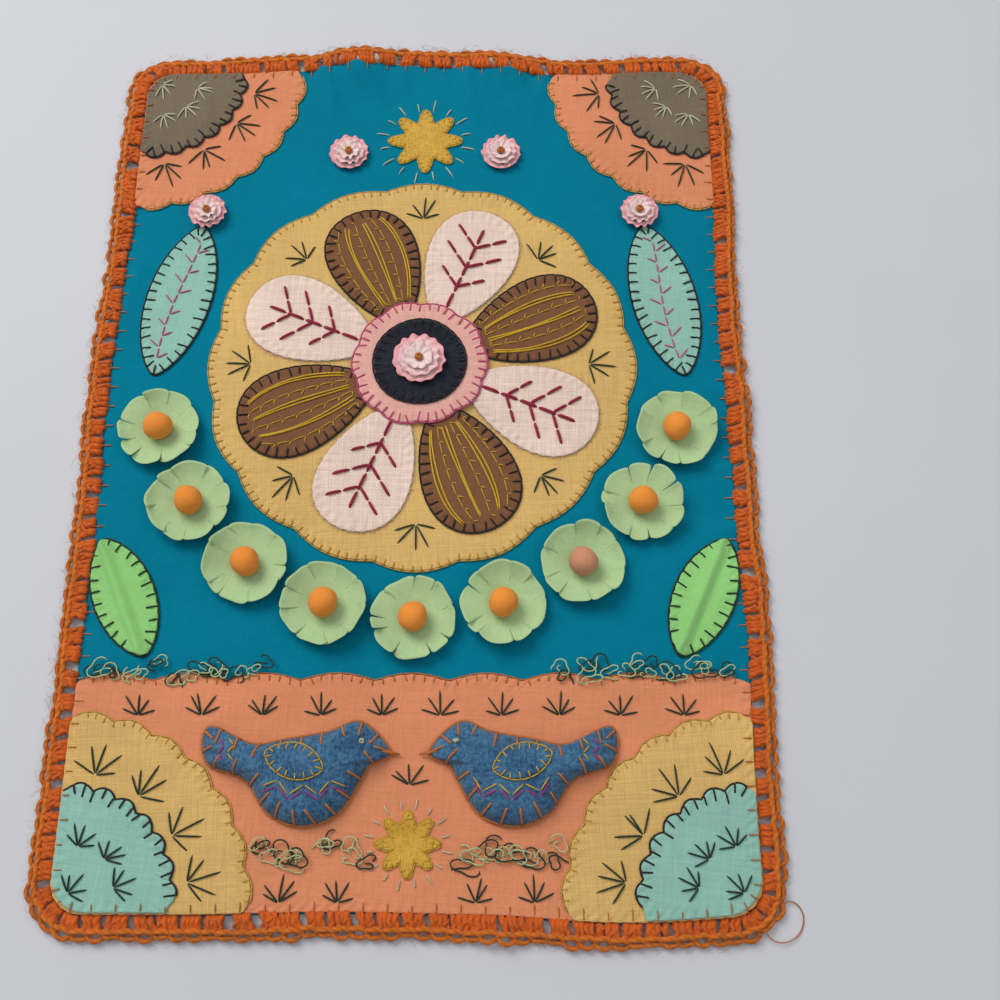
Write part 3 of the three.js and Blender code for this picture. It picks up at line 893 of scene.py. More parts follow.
def feather_line(colour, line, top, step, tick, radius, one_side=0.0):
    """Feather stitch: a line of stitches with a slanting tick at each, to both sides or to one."""
    points = along_line(line, step)
    left = across_line(points)
    straight(colour, points[:-1], points[1:], top, radius, steps=5, arch=0.2)
    side = one_side or in_turn(len(points))
    ahead = np.gradient(points, axis=0)
    ahead /= np.linalg.norm(ahead, axis=1, keepdims=True)
    tips = points + (left * side + ahead * 0.7) * tick * rng.uniform(0.7, 1.1, (len(points), 1))
    straight(colour, points, tips, top, radius, steps=5, arch=0.2)


def zigzag(colour, line, top, step, swing, radius):
    """Zigzag: straight stitches between points that swing left and right of a line."""
    points = along_line(line, step)
    points = points + across_line(points) * in_turn(len(points)) * swing
    straight(colour, points[:-1], points[1:], top, radius, steps=5, arch=0.25)


def loops(colour, places, sizes, bed, radius, turns):
    """Loose loops of thread: each runs round more than once and wanders off its flattened circle."""
    places = np.asarray(places, float)
    sizes = np.asarray(sizes)[:, None]
    count = len(places)
    share = np.linspace(0, 1, 26)
    start, twist = rng.uniform(0, TURN, (2, count, 1))
    angle = start + share * turns * TURN
    reach = sizes * (0.75 + 0.25 * np.sin(2.3 * angle + twist))
    wander = polar(twist) * (share - 0.5)[:, None] * sizes[..., None]
    flat = places[:, None] + reach[..., None] * (polar(angle) * [1, 0.7]) + wander
    slack = 2.2 * np.sin(share * TURN / 2) * rng.uniform(0.4, 1.0, (count, 1))
    rise = 0.5 + slack + 0.5 * np.sin(angle)
    sew(colour, at_height(flat, on(bed, flat) + np.maximum(rise, 0.3)), radius)


# Cloth pieces

# Depths of the rows at a patch's rim, and rows that its underside and a bird's repeat
RIM_DEPTHS = np.array([0.0, 0.12, 0.35, 0.7, 1.2, 1.9, 2.8, 4.0, 5.6])
PATCH_UNDER_ROWS = [4, 1]
BIRD_UNDER_ROWS = [5, 1]


def patch(name, outline, bed, cloth, rests_on, pitch=5.0, pull=1.0, extra=None, rings=11):
    """A flat patch with a turned edge. Rows of its skin run from the outline towards its middle. Its
    height is the bed, plus a quarter-round rim, plus a pillow between neighbouring stitches."""
    points = spaced(outline, stitch_count(outline, pitch) * STITCH_SAMPLES)
    middle = points.mean(axis=0)
    ray = middle - points
    reach = np.linalg.norm(ray, axis=1)
    drawn = np.cos(math.pi * np.arange(len(points)) / STITCH_SAMPLES) ** 2
    shallow = RIM_DEPTHS * min(1.0, 0.5 * reach.min() / RIM_DEPTHS[-1])
    share = np.linspace(0, 0.94, rings)[1:, None]
    rim = np.broadcast_to(shallow[:, None], (len(shallow), len(points)))
    depth = np.concatenate([rim, shallow[-1] + (reach - shallow[-1]) * share])
    depth = depth + pull * 0.5 * drawn * np.exp(-depth / 1.5)
    flat = points + (ray / reach[:, None]) * depth[..., None]
    pillow = pull * 0.6 * (0.4 - drawn) * np.exp(-(((depth - 2.4) / 2.4) ** 2))
    height = on(bed, flat) + rim_height(depth) + pillow * np.clip(depth / 1.2, 0, 1)
    if extra is not None:
        height = height + on(extra, flat)
    made, faces = skin(flat, height, PATCH_UNDER_ROWS, bed, middle, height[-1].mean())
    piece = put(f"{name}_cloth", made, faces, CLOTH[cloth], cloth)
    flat_area(outline) * MM**2
    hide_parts(name)


def ground_cloth():
    """The ground: rows of loops from the edge inwards. Its height is the drape, plus the creases, less
    a dimple where each group of the edging pulls the cloth."""
    samples = 5
    points, _ = cloth_edge(EDGING["groups"] * samples)
    pulled = np.cos(math.pi * np.arange(len(points)) / samples) ** 2
    rim_share = [1, 0.9985, 0.995, 0.99, 0.983, 0.975, 0.965]
    share = np.concatenate([rim_share, np.linspace(0.95, 0.06, 44)])
    flat = points * share[:, None, None]
    depth = np.linalg.norm(points - flat, axis=2)
    dimple = 0.5 * pulled * np.exp(-((depth - 2.5) ** 2) / 6)
    rim = np.clip(1 - (1 - np.clip(depth / 1.4, 0, 1)) ** 2, 0.05, 1)
    height = CLOTH_THICK * np.sqrt(rim) + on(drape, flat) + on(creases, flat) - dimple
    middle = np.zeros(2)
    under_rows = [24, 8, 1]
    made, faces = skin(flat, height, under_rows, lifts, middle, CLOTH_THICK + drape(*middle))
    piece = put("ground_cloth_sheet", made, faces, CLOTH["teal_cotton"], "teal_cotton")
    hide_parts("ground_cloth")


def inside_edges(x, y):
    """Places clear of the cloth's edges, where a patch is sewn and not caught in the edging."""
    edge_clear = 4
    corner_clear = 24
    across = HALF_WIDTH - np.abs(x)
    down = HALF_HEIGHT - np.abs(y)
    return (across > edge_clear) & (down > edge_clear) & (across + down > corner_clear)


def corner_fans():
    """Two fans in each corner, with sprigs that point away from the corner."""
    for row in CORNERS:
        fans = row["fans"]
        way = np.array([row["x"], row["y"]])
        corner = way * [HALF_WIDTH, HALF_HEIGHT]
        beds = {"outer": level(fans["level"]), "inner": level(fans["level"] + 1)}
        outlines = {fan: fan_outline(FAN[fan], FAN[f"{fan}_inset"], *way) for fan in beds}
        below = fans["on"]
        for fan, bed in beds.items():
            name = f"fan_{fan}_{row['name']}"
            patch(name, outlines[fan], bed, fans[fan], below)
            below = f"{name}_cloth"
        whip = {"pitch": 4.2, "tick": 2.6, "radius": 0.3}
        blanket("straw", outlines["outer"], beds["outer"], keep=inside_edges, **whip)
        blanket("black", outlines["inner"], beds["inner"], keep=inside_edges)
        for fan, colour in (("outer", "dark_green"), ("inner", fans["sprig"])):
            ring = FAN_SPRIGS[fan]
            away = -way * polar(np.radians(ring["turns"]))
            places = corner + away * np.array(ring["reach"])[:, None]
            sprigs(colour, places, np.arctan2(away[:, 1], away[:, 0]), ring["size"], top_of(beds[fan]))


def lower_field():
    """The salmon field across the foot, sewn down along its scallops, with rows of sprigs."""

    def along_top(x, y):
        """Places along the scalloped top edge."""
        return inside_edges(x, y) & (y > FIELD["top"] - 6)

    outline = field_outline()
    patch("lower_field", outline, level(1), "salmon_cotton", "ground_cloth_sheet", rings=13)
    blanket("orange", outline, level(1), pitch=4.4, tick=2.8, radius=0.3, keep=along_top)
    places = np.array([[x, row["y"]] for row in FIELD_SPRIGS for x in row["x"]], float)
    upright = np.full(len(places), TURN / 4)
    sprigs("dark_green", places, upright, size=10.5, top=top_of(level(1)))


def thatch_lines(angle, root, top):
    """Yellow lines that run up a petal: pairs of long loose strands, with feather stitch between them."""
    along = np.linspace(0.14, 0.9, 24)
    half = 0.5 * PETAL["width"] * np.sqrt(1 - (2 * along - 1) ** 2) * (0.6 + 0.5 * along)
    for row, side in enumerate(np.linspace(-0.66, 0.66, 6)):
        line = placed(PETAL["length"] * along, side * half, angle, root)
        if row % 2:
            feather_line("yellow", line, top, step=7.0, tick=2.6, radius=0.27, one_side=1.0)
        else:
            wander = 0.35 * np.sin(along * rng.uniform(4, 9, (2, 1)) + rng.uniform(0, TURN, (2, 1)))
            floss = line + across_line(line) * (np.array([[-0.6], [0.6]]) + wander)[..., None]
            rise = 0.35 + rng.normal(0, 0.05, floss.shape[:2])
            rise[:, [0, -1]] = -0.4
            sew("yellow", at_height(floss, on(top, floss) + rise), radius=0.4)


def vein_lines(angle, root, top):
    """Crimson veins of a petal: a middle line and pairs of side lines, in long back stitches."""
    length = PETAL["length"]
    run = np.linspace(0.1, 0.84, 12)
    back_stitch("crimson", placed(length * run, 0 * run, angle, root), top, step=8.5, radius=0.75)
    share = np.linspace(0, 1, 8)
    for vein in SIDE_VEINS:
        for side in (-1, 1):
            along = length * vein["start"] + share * vein["reach"] * 0.75
            line = placed(along, side * share * vein["reach"], angle, root)
            back_stitch("crimson", line, top, step=7.5, radius=0.7)


def medallion():
    """The flower: a straw disc, petals, a pink disc and a navy disc."""
    on_disc = "medallion_disc_cloth"
    disc = disc_outline(MEDALLION, seed=1)
    pitch = 4.2
    ground = "ground_cloth_sheet"
    patch("medallion_disc", disc, level(1), "straw_cotton", ground, pitch, pull=0.8, rings=13)
    blanket("straw", disc, level(1), pitch, tick=2.8, radius=0.3)
    top = top_of(level(2))
    for k in range(PETAL["count"]):
        angle = (k + 0.5) / PETAL["count"] * TURN
        root = CENTRE + PETAL["root"] * np.array([math.cos(angle), math.sin(angle)])
        outline = petal_outline(angle, root)
        brown = k % 2 == 0
        patch(f"petal_{k + 1}", outline, level(2), "brown_cotton" if brown else "cream_cotton", on_disc)
        if brown:
            blanket("black", outline, level(2))
            thatch_lines(angle, root, top)
        else:
            fray("raw_cream", outline, level(2))
            vein_lines(angle, root, top)
    turns = np.arange(PETAL["count"]) / PETAL["count"] * TURN
    between = CENTRE + polar(turns) * MEDALLION["sprig_reach"]
    sprigs("dark_green", between, turns, size=13, top=top_of(level(1)))
    pink = disc_outline(PINK_DISC, seed=2)
    navy = disc_outline(NAVY_DISC, seed=3)
    patch("pink_disc", pink, level(3), "pink_cotton", on_disc)
    blanket("pink", pink, level(3), pitch=4.4, tick=4.2, radius=0.36)
    patch("navy_disc", navy, level(4), "navy_felt", "pink_disc_cloth")
    blanket("black", navy, level(4), pitch=4.6, tick=3.6)


def fold_along(angle, root):
    """A fold along a leaf: a bell-shaped ridge left of its middle line and a shallow dip right of it."""

    def fold(x, y):
        """Height of the fold at a place."""
        across = -(x - root[0]) * math.sin(angle) + (y - root[1]) * math.cos(angle)
        dip = 0.5 * np.exp(-(((across + 3) / 2) ** 2))
        return 1.9 * np.exp(-(((across - 1.5) / 2.6) ** 2)) - dip

    return fold


def leaves():
    """Mint leaves with pink feather veins, and green leaves with a fold along the middle."""
    for row in LEAVES:
        for side, sign in SIDES:
            angle = math.radians(row["turn"] if sign > 0 else 180 - row["turn"])
            root = np.array([sign * row["x"], row["y"]], float)
            outline = leaf_outline(row["length"], row["width"], angle, root)
            name = f"{row['name']}_{side}"
            fold = fold_along(angle, root) if row["folded"] else None
            patch(name, outline, level(1), row["cloth"], "ground_cloth_sheet", extra=fold)
            blanket(row["thread"], outline, level(1), row["pitch"])
            if row["folded"]:
                continue
            share = np.linspace(0.1, 0.88, 20)
            vein = placed(row["length"] * share, 2.0 * np.sin(share * 5), angle, root)
            feather_line("pink", vein, top_of(level(1)), step=5.5, tick=6.0, radius=0.34)


def stars():
    """Golden felt stars, whipped down with small stitches, with long straight stitches round them."""
    rays = np.arange(16)
    for row in STARS:
        outline = star_outline(row)
        bed = level(row["level"])
        patch(row["name"], outline, bed, "gold_felt", row["on"], pitch=3.4, pull=0.4)
        blanket("yellow", outline, bed, pitch=3.4, tick=1.8, radius=0.28)
        centre = np.array([row["x"], row["y"]], float)
        heading = polar((rays + 0.5) / len(rays) * TURN)
        inner = row["radius"] * 0.86 + 2.0
        outer = inner + row["radius"] * np.where(rays % 2, 0.42, 0.3)
        bare = bare_ground if row["level"] == 1 else top_of(level(1))
        straight("cream", centre + heading * inner, centre + heading * outer[:, None], bare, radius=0.34)


def blossoms():
    """Blossoms with stuffed balls, set along an arc under the medallion."""
    for k in range(BLOSSOM["count"]):
        turn = 0.75 * TURN + (k - (BLOSSOM["count"] - 1) / 2) * BLOSSOM["spread"]
        centre = CENTRE + BLOSSOM["arc"] * np.array([math.cos(turn), math.sin(turn)])
        blossom_disc(f"blossom_{k + 1}", centre)
        stuffed_ball(k + 1, centre)


def blossom_disc(name, centre):
    """A thin stiff disc, slit from the rim about a third of the way in. It rises as its radius to the
    power 2.1 and warps by a slow wave round it. Past the slits' inner ends each of its leaves also tips,
    one edge over its neighbour and the other under. Neighbouring leaves share points up to there."""
    count = BLOSSOM["leaves"]
    each = (count, 1, 1)
    cuts = np.arange(count) + rng.uniform(-0.28, 0.28, count)
    cuts = (cuts / count + rng.uniform()) * TURN
    spans = np.diff(np.append(cuts, cuts[0] + TURN))
    u = np.linspace(0, 1, 13)[None, None, :]
    t = np.concatenate([np.linspace(0.12, 0.5, 6), np.linspace(0.55, 1, 10)])[None, :, None]
    inner = rng.uniform(0.55, 0.8, each)
    free = np.clip((t - inner) / (1 - inner), 0, 1)
    lap = rng.uniform(-0.08, 0.16, each)
    angle = cuts[:, None, None] + spans[:, None, None] * u + lap * free * (u - 0.2)
    wave = rng.uniform(1.1, 2.5)
    seed = rng.uniform(0, TURN, 3)
    cut_edge = 1 + 0.02 * np.sin(4 * angle + seed[0]) + 0.014 * np.sin(9 * angle + seed[1])
    corner = 1 - 0.05 * np.abs(2 * u - 1) ** 6 * free
    reach = BLOSSOM["radius"] * t * cut_edge * corner * 0.97
    warp = wave * t**2 * np.sin(2 * angle + seed[2]) + 0.5 * t**2 * np.sin(3 * angle + seed[0])
    tip = free**1.3 * (u - 0.4) * rng.uniform(-0.8, 3.0, each) + free**2 * rng.normal(0, 0.6, each)
    floor = level(1)(*centre)
    height = floor + 0.5 + 5.6 * t**2.1 + warp * 0.8 + tip
    height = np.clip(height, floor + 0.3, floor + 9.5)
    points = at_height(centre + reach[..., None] * polar(angle), height)
    index = np.arange(height.size).reshape(height.shape)
    uncut = (free == 0) & (np.roll(free, -1, axis=0) == 0)
    index[..., -1] = np.where(uncut[..., 0], np.roll(index[..., 0], -1, axis=0), index[..., -1])
    near = [index[:, :-1, :-1], index[:, 1:, :-1]]
    far = [index[:, 1:, 1:], index[:, :-1, 1:]]
    used, kept = np.unique(np.stack(near + far, axis=-1), return_inverse=True)
    made = points.reshape(-1, 3)[used]
    faces = [kept.reshape(-1, 4)]
    piece = put(f"{name}_disc", made, faces, CLOTH["pale_green_cotton"], "pale_green_cotton")
    thicken(piece, DISC_THICK)
    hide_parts(name)


def stuffed_ball(number, centre):
    """A sphere, lumpy by slow waves, gathered in folds near its foot and flat under it."""
    turn = np.linspace(0, TURN, 36, endpoint=False)[None, :]
    rise = np.linspace(-0.92, 0.985, 20)[:, None] * TURN / 4
    seed = rng.uniform(0, TURN, 4)
    lump = 0.035 * np.sin(2 * turn + seed[0]) * np.cos(rise) ** 2
    lump = lump + 0.025 * np.sin(3 * turn + 2 * rise + seed[1]) * np.cos(rise) ** 2
    gather = 0.035 * np.sin(8 * turn + seed[2]) * np.clip(-np.sin(rise) - 0.05, 0, 1)
    reach = BALL_RADIUS * (0.965 + lump + gather)
    foot = 0.8 * BALL_RADIUS
    base = level(1)(*centre) + PATCH_THICK + SEAM_GAP + foot
    flat = centre + (reach * np.cos(rise))[..., None] * polar(turn)
    rows = at_height(flat, base + np.maximum(reach * np.sin(rise), -foot))
    made, faces = capped(rows, np.append(centre, base - foot), rows[-1].mean(axis=0))
    cloth = "peach_cotton" if number == PEACH_BALL else "orange_cotton"
    piece = put(f"ball_{number}_stuffed", made, faces, CLOTH[cloth], "orange_cotton")
    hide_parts(f"ball_{number}")


def rosettes():
    """Ruffled rosettes: frills, each a ring whose radius and height ripple more towards its rim, with a
    knot of thread in the middle."""
    turn = np.linspace(0, TURN, 112, endpoint=False)[None, :]
    t = np.linspace(0, 1, 7)[:, None]
    grid = (t.size, turn.size)
    index = np.arange(t.size * turn.size).reshape(grid)
    wind = np.linspace(0, 1, 30)
    for row in ROSETTES:
        centre = np.array([row["x"], row["y"]], float)
        base = level(row["level"])(*centre)
        points = []
        faces = []
        corner_map = []
        area = 0
        for number, frill in enumerate(FRILLS):
            inner = frill["inner"]
            outer = frill["outer"]
            low = frill["low"]
            seed = rng.uniform(0, TURN, 3)
            uneven = 0.9 * np.sin(2 * turn + seed[1]) + 0.5 * np.sin(5 * turn + seed[2])
            phase = frill["ripples"] * turn + uneven
            full = 0.7 + 0.3 * np.sin(3 * turn + seed[0])
            ripple = 0.96 + 0.12 * np.sin(phase + seed[0]) * full
            reach = row["radius"] * (inner + (outer - inner) * t * ripple)
            flutter = 0.9 * full * t**1.4 * np.cos(phase + 2.2 * t)
            height = base + low + (frill["high"] - low) * t**0.8 + flutter
            flat = centre + reach[..., None] * polar(turn)
            points.append(at_height(flat, np.maximum(height, base + 0.1)).reshape(-1, 3))
            faces.append(loop_quads(index + number * index.size)[:, ::-1])
            share = np.broadcast_to(np.stack([0 * t + number / 2, t], axis=-1), (*grid, 2))
            corners = np.stack([share[1:], share[1:], share[:-1], share[:-1]], axis=2)
            corner_map.append(corners.reshape(-1, 2))
            area += row["radius"] ** 2 * math.pi * (outer**2 - inner**2) * MM**2
        made = np.concatenate(points)
        quads = [np.concatenate(faces)]
        name = f"{row['name']}_frills"
        piece = put(name, made, quads, RIBBON, "pink_ribbon", np.concatenate(corner_map))
        thicken(piece, RIBBON_THICK)
        wide = RIBBON_WIDTH * MM
        1.2 * area / wide
        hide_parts(row["name"])
        knot = centre + (1.5 * (1 - 0.4 * wind))[:, None] * polar(wind * 3 * TURN)
        sew("orange", at_height(knot, base + 3.6 + 1.6 * wind)[None], radius=0.6)


def bird_back(centre, outline):
    """A bird's height over the cloth: a pillow, the square root of 1 - t to the power 4, where t is the
    share of the way out to its outline, with dents from the filling and a pinch at each stitch."""
    bearing = np.unwrap(np.arctan2(outline[:, 1], outline[:, 0]))
    order = np.argsort(bearing % TURN)
    rim = np.linalg.norm(outline, axis=1)[order]
    rim_angle = (bearing % TURN)[order]
    stitches = stitch_count(outline, BIRD["pitch"])
    rim_stitch = (np.arange(len(outline)) / len(outline) * stitches)[order]

    def flank(x, y):
        """Height of the bird's back over a place on the cloth."""
        dx = x - centre[0]
        dy = y - centre[1]
        angle = np.arctan2(dy, dx) % TURN
        t = np.clip(np.hypot(dx, dy) / np.interp(angle, rim_angle, rim, period=TURN), 0, 1)
        dents = 0.7 * np.sin(dx / 5.1 + 1) * np.sin(dy / 4.3) + 0.35 * np.sin((dx + dy) / 2.9)
        near = np.searchsorted(rim_angle, angle) % len(rim_angle)
        pinch = np.cos(math.pi * rim_stitch[near]) ** 2 * np.exp(-(((1 - t) / 0.2) ** 2))
        puff = (BIRD["puff"] - 0.6 + dents * (1 - t**2)) * np.sqrt(1 - t**4) * (1 - 0.3 * pinch)
        return level(2)(x, y) + BIRD["edge"] + puff

    return flank


def birds():
    """Stuffed felt birds that face the middle, with a felt wing, bands of zigzag, an eye and a beak."""
    for side, sign in SIDES:
        facing = np.array([-sign, 1])
        centre = np.array([sign * BIRD["x"], BIRD["y"]])
        outline = spaced(bird_outline(sign), 264)
        bed = level(2)
        flank = bird_back(centre, outline)
        rim_share = [1, 0.995, 0.985, 0.965, 0.94]
        share = np.concatenate([rim_share, np.linspace(0.9, 0.04, 22)])
        flat = centre + outline * share[:, None, None]
        height = on(flank, flat)
        made, faces = skin(flat, height, BIRD_UNDER_ROWS, bed, centre, height[-1].mean())
        piece = put(f"bird_{side}_stuffed", made, faces, CLOTH["blue_felt"], "blue_felt")
        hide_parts(f"bird_{side}")
        blanket("orange", centre + outline, flank, BIRD["pitch"], tick=6.0, radius=0.5, thick=0.0)

        wing_bed = top_of(flank, SEAM_GAP)
        root = centre + facing * [WING["x"], WING["y"]]
        slope = WING["slope"] if sign < 0 else math.pi - WING["slope"]
        wing = leaf_outline(WING["length"], WING["width"], slope, root)
        pitch = WING["pitch"]
        body = f"bird_{side}_stuffed"
        patch(f"wing_{side}", wing, wing_bed, "blue_felt", body, pitch, pull=0.6, rings=8)
        blanket("yellow", wing, wing_bed, pitch, tick=2.6, radius=0.3)

        run = np.linspace(-13, 19, 20)
        for band in FLANK_BANDS:
            line = np.stack([run, band["y"] + 0.014 * (run - 3) ** 2], axis=1)
            zigzag(band["colour"], centre + facing * line, flank, step=5.4, swing=2.2, radius=0.32)
        climb = np.linspace(4.5, 13.5, 8)
        for band in TAIL_BANDS:
            line = np.stack([0 * climb + band["x"], climb], axis=1)
            zigzag(band["colour"], centre + facing * line, flank, step=3.0, swing=1.3, radius=0.34)
        loops("cream", [centre + facing * BIRD_EYE], [0.9], flank, radius=0.4, turns=1.8)
        beak = centre + facing * BEAK_LINE
        foot = bed(*centre)
        beak_height = np.array([flank(*beak[0]) + 0.2, foot + 2.0, foot + 1.2])
        sew("orange", at_height(beak, beak_height)[None], radius=0.9)


def grass():
    """Loose loops of green yarn, caught down along the top of the field and under the birds."""
    for row in TUFTS:
        for colour, radius in TUFT_RADIUS.items():
            count = row[colour]
            x = row["x"] + row["half"] * np.linspace(-1, 1, count) + rng.normal(0, 2.0, count)
            y = row["y"] + rng.normal(0, 2.2, count)
            sizes = rng.uniform(2.8, 5.6, count)
            loops(colour, np.stack([x, y], axis=1), sizes, top_of(level(1)), radius, turns=1.3)


# The crocheted edging


def edging_places():
    """A function that gives places on the edging, which is worked along a line halfway out from the
    cloth's edge."""
    points, out = cloth_edge(4000)
    lengths = lengths_along(closed_line(points + out * EDGING_WIDTH / 2))
    line = closed_line(points)
    ways = closed_line(out)

    def at(share, reach, height):
        """A place on the edging: how far round, how far out from the cloth, and how high."""
        where = (share % 1.0) * lengths[-1]
        way = points_at(where, lengths, ways)
        way /= np.linalg.norm(way, axis=-1, keepdims=True)
        flat = points_at(where, lengths, line) + way * reach[..., None]
        return at_height(flat, height + on(lifts, flat))

    return at


def edging_posts(at):
    """Posts that fan out in groups from the cloth's rim, drawn together halfway by a sine, and strands
    that are wound over most of them."""
    groups = EDGING["groups"]
    posts = EDGING["posts"]
    count = groups * posts
    pitch = 1 / groups
    q = np.linspace(0, 1, 8)[None, :]
    group = np.repeat(np.arange(groups), posts)[:, None]
    fan = np.tile(np.arange(posts) - (posts - 1) / 2, groups)[:, None]
    spread = fan / posts + rng.normal(0, 0.05, (count, 1))
    lean = rng.normal(0.1, 0.13, (groups, 1)).repeat(posts, axis=0)
    pinch = rng.uniform(0.06, 0.42, (groups, 1)).repeat(posts, axis=0) * np.sin(q * TURN / 2)
    share = (group + 0.5 + spread * (0.92 + 0.12 * q - pinch) + lean * q) * pitch
    hold = rng.uniform(0.6, 1.8, (groups, 1)).repeat(posts, axis=0) + rng.normal(0, 0.2, (count, 1))
    reach = -hold + (EDGING["post_reach"] + hold) * q
    height = 2.5 + 0.8 * np.sin(q * TURN / 2) - 0.35 * q + rng.normal(0, 0.16, (count, 1))

    w = np.linspace(0, 1, 6)[None, :]
    slant = rng.uniform(0.6, 1.5, (count, 1)) * np.where(rng.uniform(size=(count, 1)) < 0.25, -1, 1)
    middle = (group + 0.5 + spread * 0.7 + lean * 0.5) * pitch
    wind_share = middle + (w - 0.5) * 0.3 * pitch * slant
    wind_reach = 0.6 + 4.0 * w + rng.normal(0, 0.5, (count, 1))
    wind_height = 2.7 + 1.3 * np.sin(w * TURN / 2) + rng.normal(0, 0.15, (count, 1))
    wound = rng.uniform(size=count) < 0.6
    return at(share, reach, height), at(wind_share[wound], wind_reach[wound], wind_height[wound])


def edging_chain(at):
    """The chain's links: a link's two legs swing to either side of the chain's line by a sine, the outer
    one further, so that a small gap shows between them, over the link behind and under the next."""
    links = EDGING["links"]
    link = np.arange(links)[:, None]
    v = np.linspace(0, 1, 12)[None, :]
    wobble = 0.3 * np.sin(link * 0.37) + 0.2 * np.sin(link * 0.83 + 1) + rng.normal(0, 0.14, (links, 1))
    legs = []
    for leg in CHAIN_LEGS:
        share = (link - 0.2 + rng.normal(0, 0.05, (links, 1)) + 1.42 * v) / links
        bow = np.sin(np.clip(v * 1.06, 0, 1) * TURN / 2) ** 0.8
        swing = rng.uniform(leg["least"], leg["most"], (links, 1)) * bow
        rise = leg["rise"] + rng.normal(0, 0.15, (links, 1))
        height = rise + leg["arch"] * np.sin(v * TURN / 2) - leg["drop"] * v
        legs.append((at(share, EDGING["link_reach"] + wobble + swing, height), leg["girth"]))
    return legs


def edging_fuzz(at):
    """Stray fibres that drift off the yarn all over the edging."""
    each = (EDGING["hairs"], 1)
    root_share = rng.uniform(0, 1, each)
    h = np.linspace(0, 1, 3)[None, :]
    root_reach = rng.uniform(1.0, 9.4, each)
    drift = rng.normal(0, 1.0, each) * h * (1 / EDGING["groups"]) * 0.3
    away = rng.normal(0.5, 1.0, each) * h * 1.8
    lift = 3.2 + np.abs(rng.normal(0.4, 0.7, each)) * np.sin(h * 2.2)
    return at(root_share + drift, np.clip(root_reach + away, 0.5, 12.0), lift)


def edging_ticks(at):
    """A tick from each group, straight in over the cloth, that steps up onto the patches it meets."""
    groups = EDGING["groups"]
    k = np.linspace(0, 1, 9)[None, :]
    share = ((np.arange(groups) + 0.5) / groups)[:, None] + 0 * k
    reach = TICK["out"] - (TICK["length"] + rng.normal(0, 0.5, (groups, 1))) * k
    flat = at(share, reach, 0 * share)[..., :2]
    corner_away = [HALF_WIDTH, HALF_HEIGHT] - np.abs(flat)
    from_corner = np.hypot(corner_away[..., 0], corner_away[..., 1])
    step_up = np.clip(-reach - 0.2, 0, 1.35)
    step_in = np.clip(-reach - 1.0, 0, 1.45)
    height = on(bare_ground, flat) + 0.2
    height += step_up * (from_corner < FAN["outer"] + 1) + step_up * (flat[..., 1] < FIELD["top"])
    height += step_in * (from_corner < FAN["inner"] + 1) - 0.4 * (k == 1)
    return at_height(flat, height)


def loose_thread():
    """A thread that curls off past a lower corner: one turn of a flattened circle that slides away."""
    turn = np.linspace(0.0, 1.0, 28) * TURN
    x = LOOSE_THREAD["x"] + LOOSE_THREAD["wide"] * (1 - np.cos(turn)) - LOOSE_THREAD["left"] * turn / TURN
    y = LOOSE_THREAD["y"] + LOOSE_THREAD["tall"] * np.sin(turn) - LOOSE_THREAD["down"] * turn / TURN
    return np.stack([x, y, 0.35 + 2.3 * np.cos(turn / 2) ** 2], axis=1)


def crochet():
    """The edging: posts with their windings, the chain that caps them, and fuzz, with its ticks."""
    at = edging_places()
    posts, winds = edging_posts(at)
    legs = edging_chain(at)
    girth = rng.uniform(*POST_GIRTH, (len(posts), 1))
    worked = [(posts, girth), (winds, WIND_GIRTH)]
    piece = bundle("edging_posts", worked, YARN["posts"], "orange_yarn", sides=7)
    bundle("edging_chain", legs, YARN["chain"], "orange_yarn", sides=7)
    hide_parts("crochet_edging")
    bundle("edging_fuzz", [(edging_fuzz(at), HAIR_GIRTH)], YARN["fuzz"], "orange_yarn", sides=3)
    sew("orange", edging_ticks(at), TICK["radius"])
    sew("orange", loose_thread()[None], LOOSE_THREAD["radius"])


# The table, light and camera

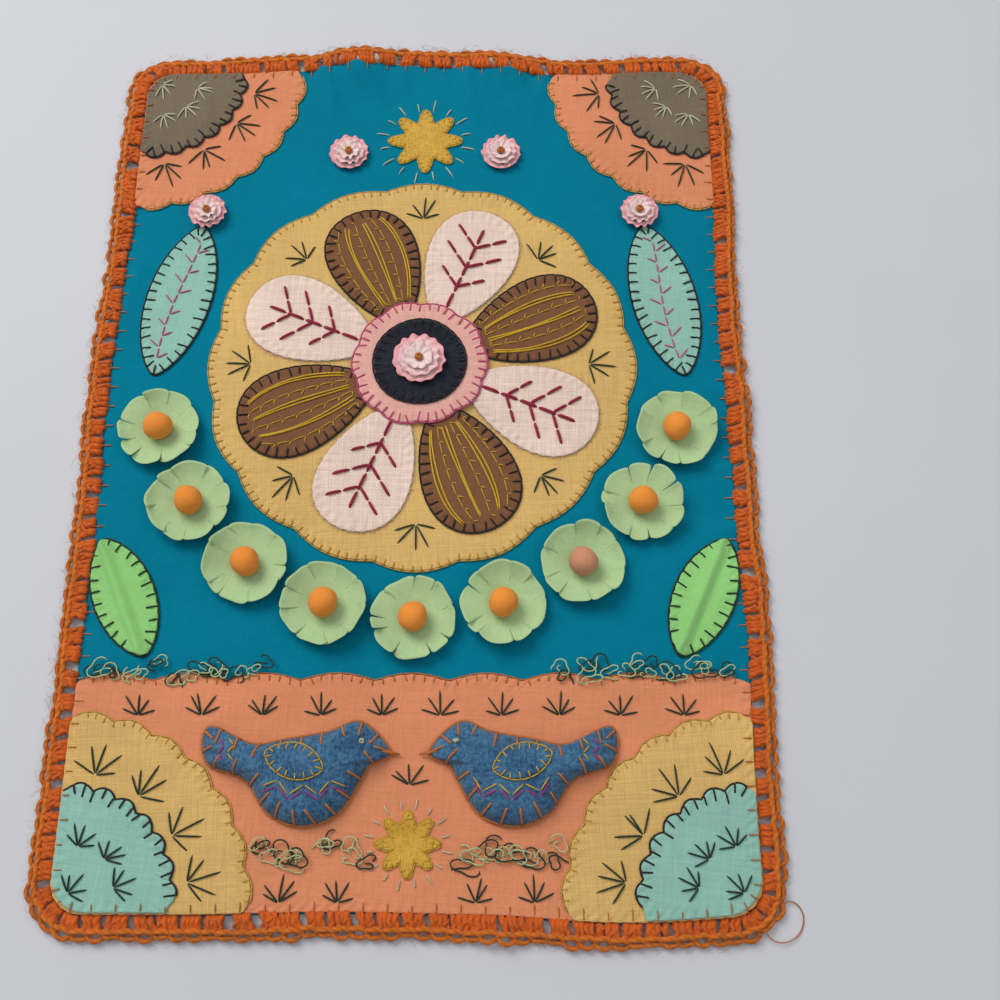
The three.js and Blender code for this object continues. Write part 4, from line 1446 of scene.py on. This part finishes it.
LAMPS = [
    {
        "name": "window", "at": (-0.9, 0.9, 1.5),
        "size": 1.2, "power": 27.0, "colour": (1.0, 0.985, 0.96),
    },
    {
        "name": "ceiling", "at": (0.5, -0.2, 1.8),
        "size": 2.2, "power": 13.5, "colour": (0.96, 0.98, 1.0),
    },
]


def show(name, data):
    """An object for a lamp, camera or table, put into the scene."""
    shown = bpy.data.objects.new(name, data)
    bpy.context.scene.collection.objects.link(shown)
    return shown


def stage():
    """A pale table top, soft light from above and a camera that looks down at the face."""
    span = 4.0
    mesh = bpy.data.meshes.new("table")
    corners = [(-span, -span, 0), (span, -span, 0), (span, span, 0), (-span, span, 0)]
    mesh.from_pydata(corners, [], [(0, 1, 2, 3)])
    mesh.materials.append(table_top("pale_table", (0.6, 0.605, 0.64)))
    table = show("table", mesh)

    for lamp in LAMPS:
        light = bpy.data.lights.new(lamp["name"], "AREA")
        light.size = lamp["size"]
        light.energy = lamp["power"]
        light.color = lamp["colour"]
        holder = show(lamp["name"], light)
        holder.location = lamp["at"]
        aim = -np.array(lamp["at"])
        tilt = math.atan2(math.hypot(aim[0], aim[1]), -aim[2])
        holder.rotation_euler = (tilt, 0, math.atan2(aim[1], aim[0]) - TURN / 4)
    world = bpy.data.worlds.new("room")
    world.use_nodes = True
    sky = world.node_tree.nodes["Background"]
    sky.inputs["Color"].default_value = (0.9, 0.93, 1.0, 1)
    sky.inputs["Strength"].default_value = 0.26
    bpy.context.scene.world = world

    tilt = math.radians(20)
    distance = 0.531
    aim = np.array([37.0, -28.0, 0.0]) * MM
    camera = bpy.data.cameras.new("camera")
    camera.lens = 43.4
    camera.sensor_width = 36.0
    holder = show("camera", camera)
    holder.location = aim + distance * np.array([0, -math.sin(tilt), math.cos(tilt)])
    holder.rotation_euler = (tilt, 0, 0)
    bpy.context.scene.camera = holder
    bpy.context.scene.view_settings.view_transform = "Standard"


ground_cloth()
lower_field()
corner_fans()
medallion()
leaves()
stars()
blossoms()
rosettes()
birds()
grass()
crochet()
for colour, groups in sewn.items():
    bundle(f"thread_{colour}", groups, THREAD[colour], THREADS[colour]["slot"], sides=5)
stage()
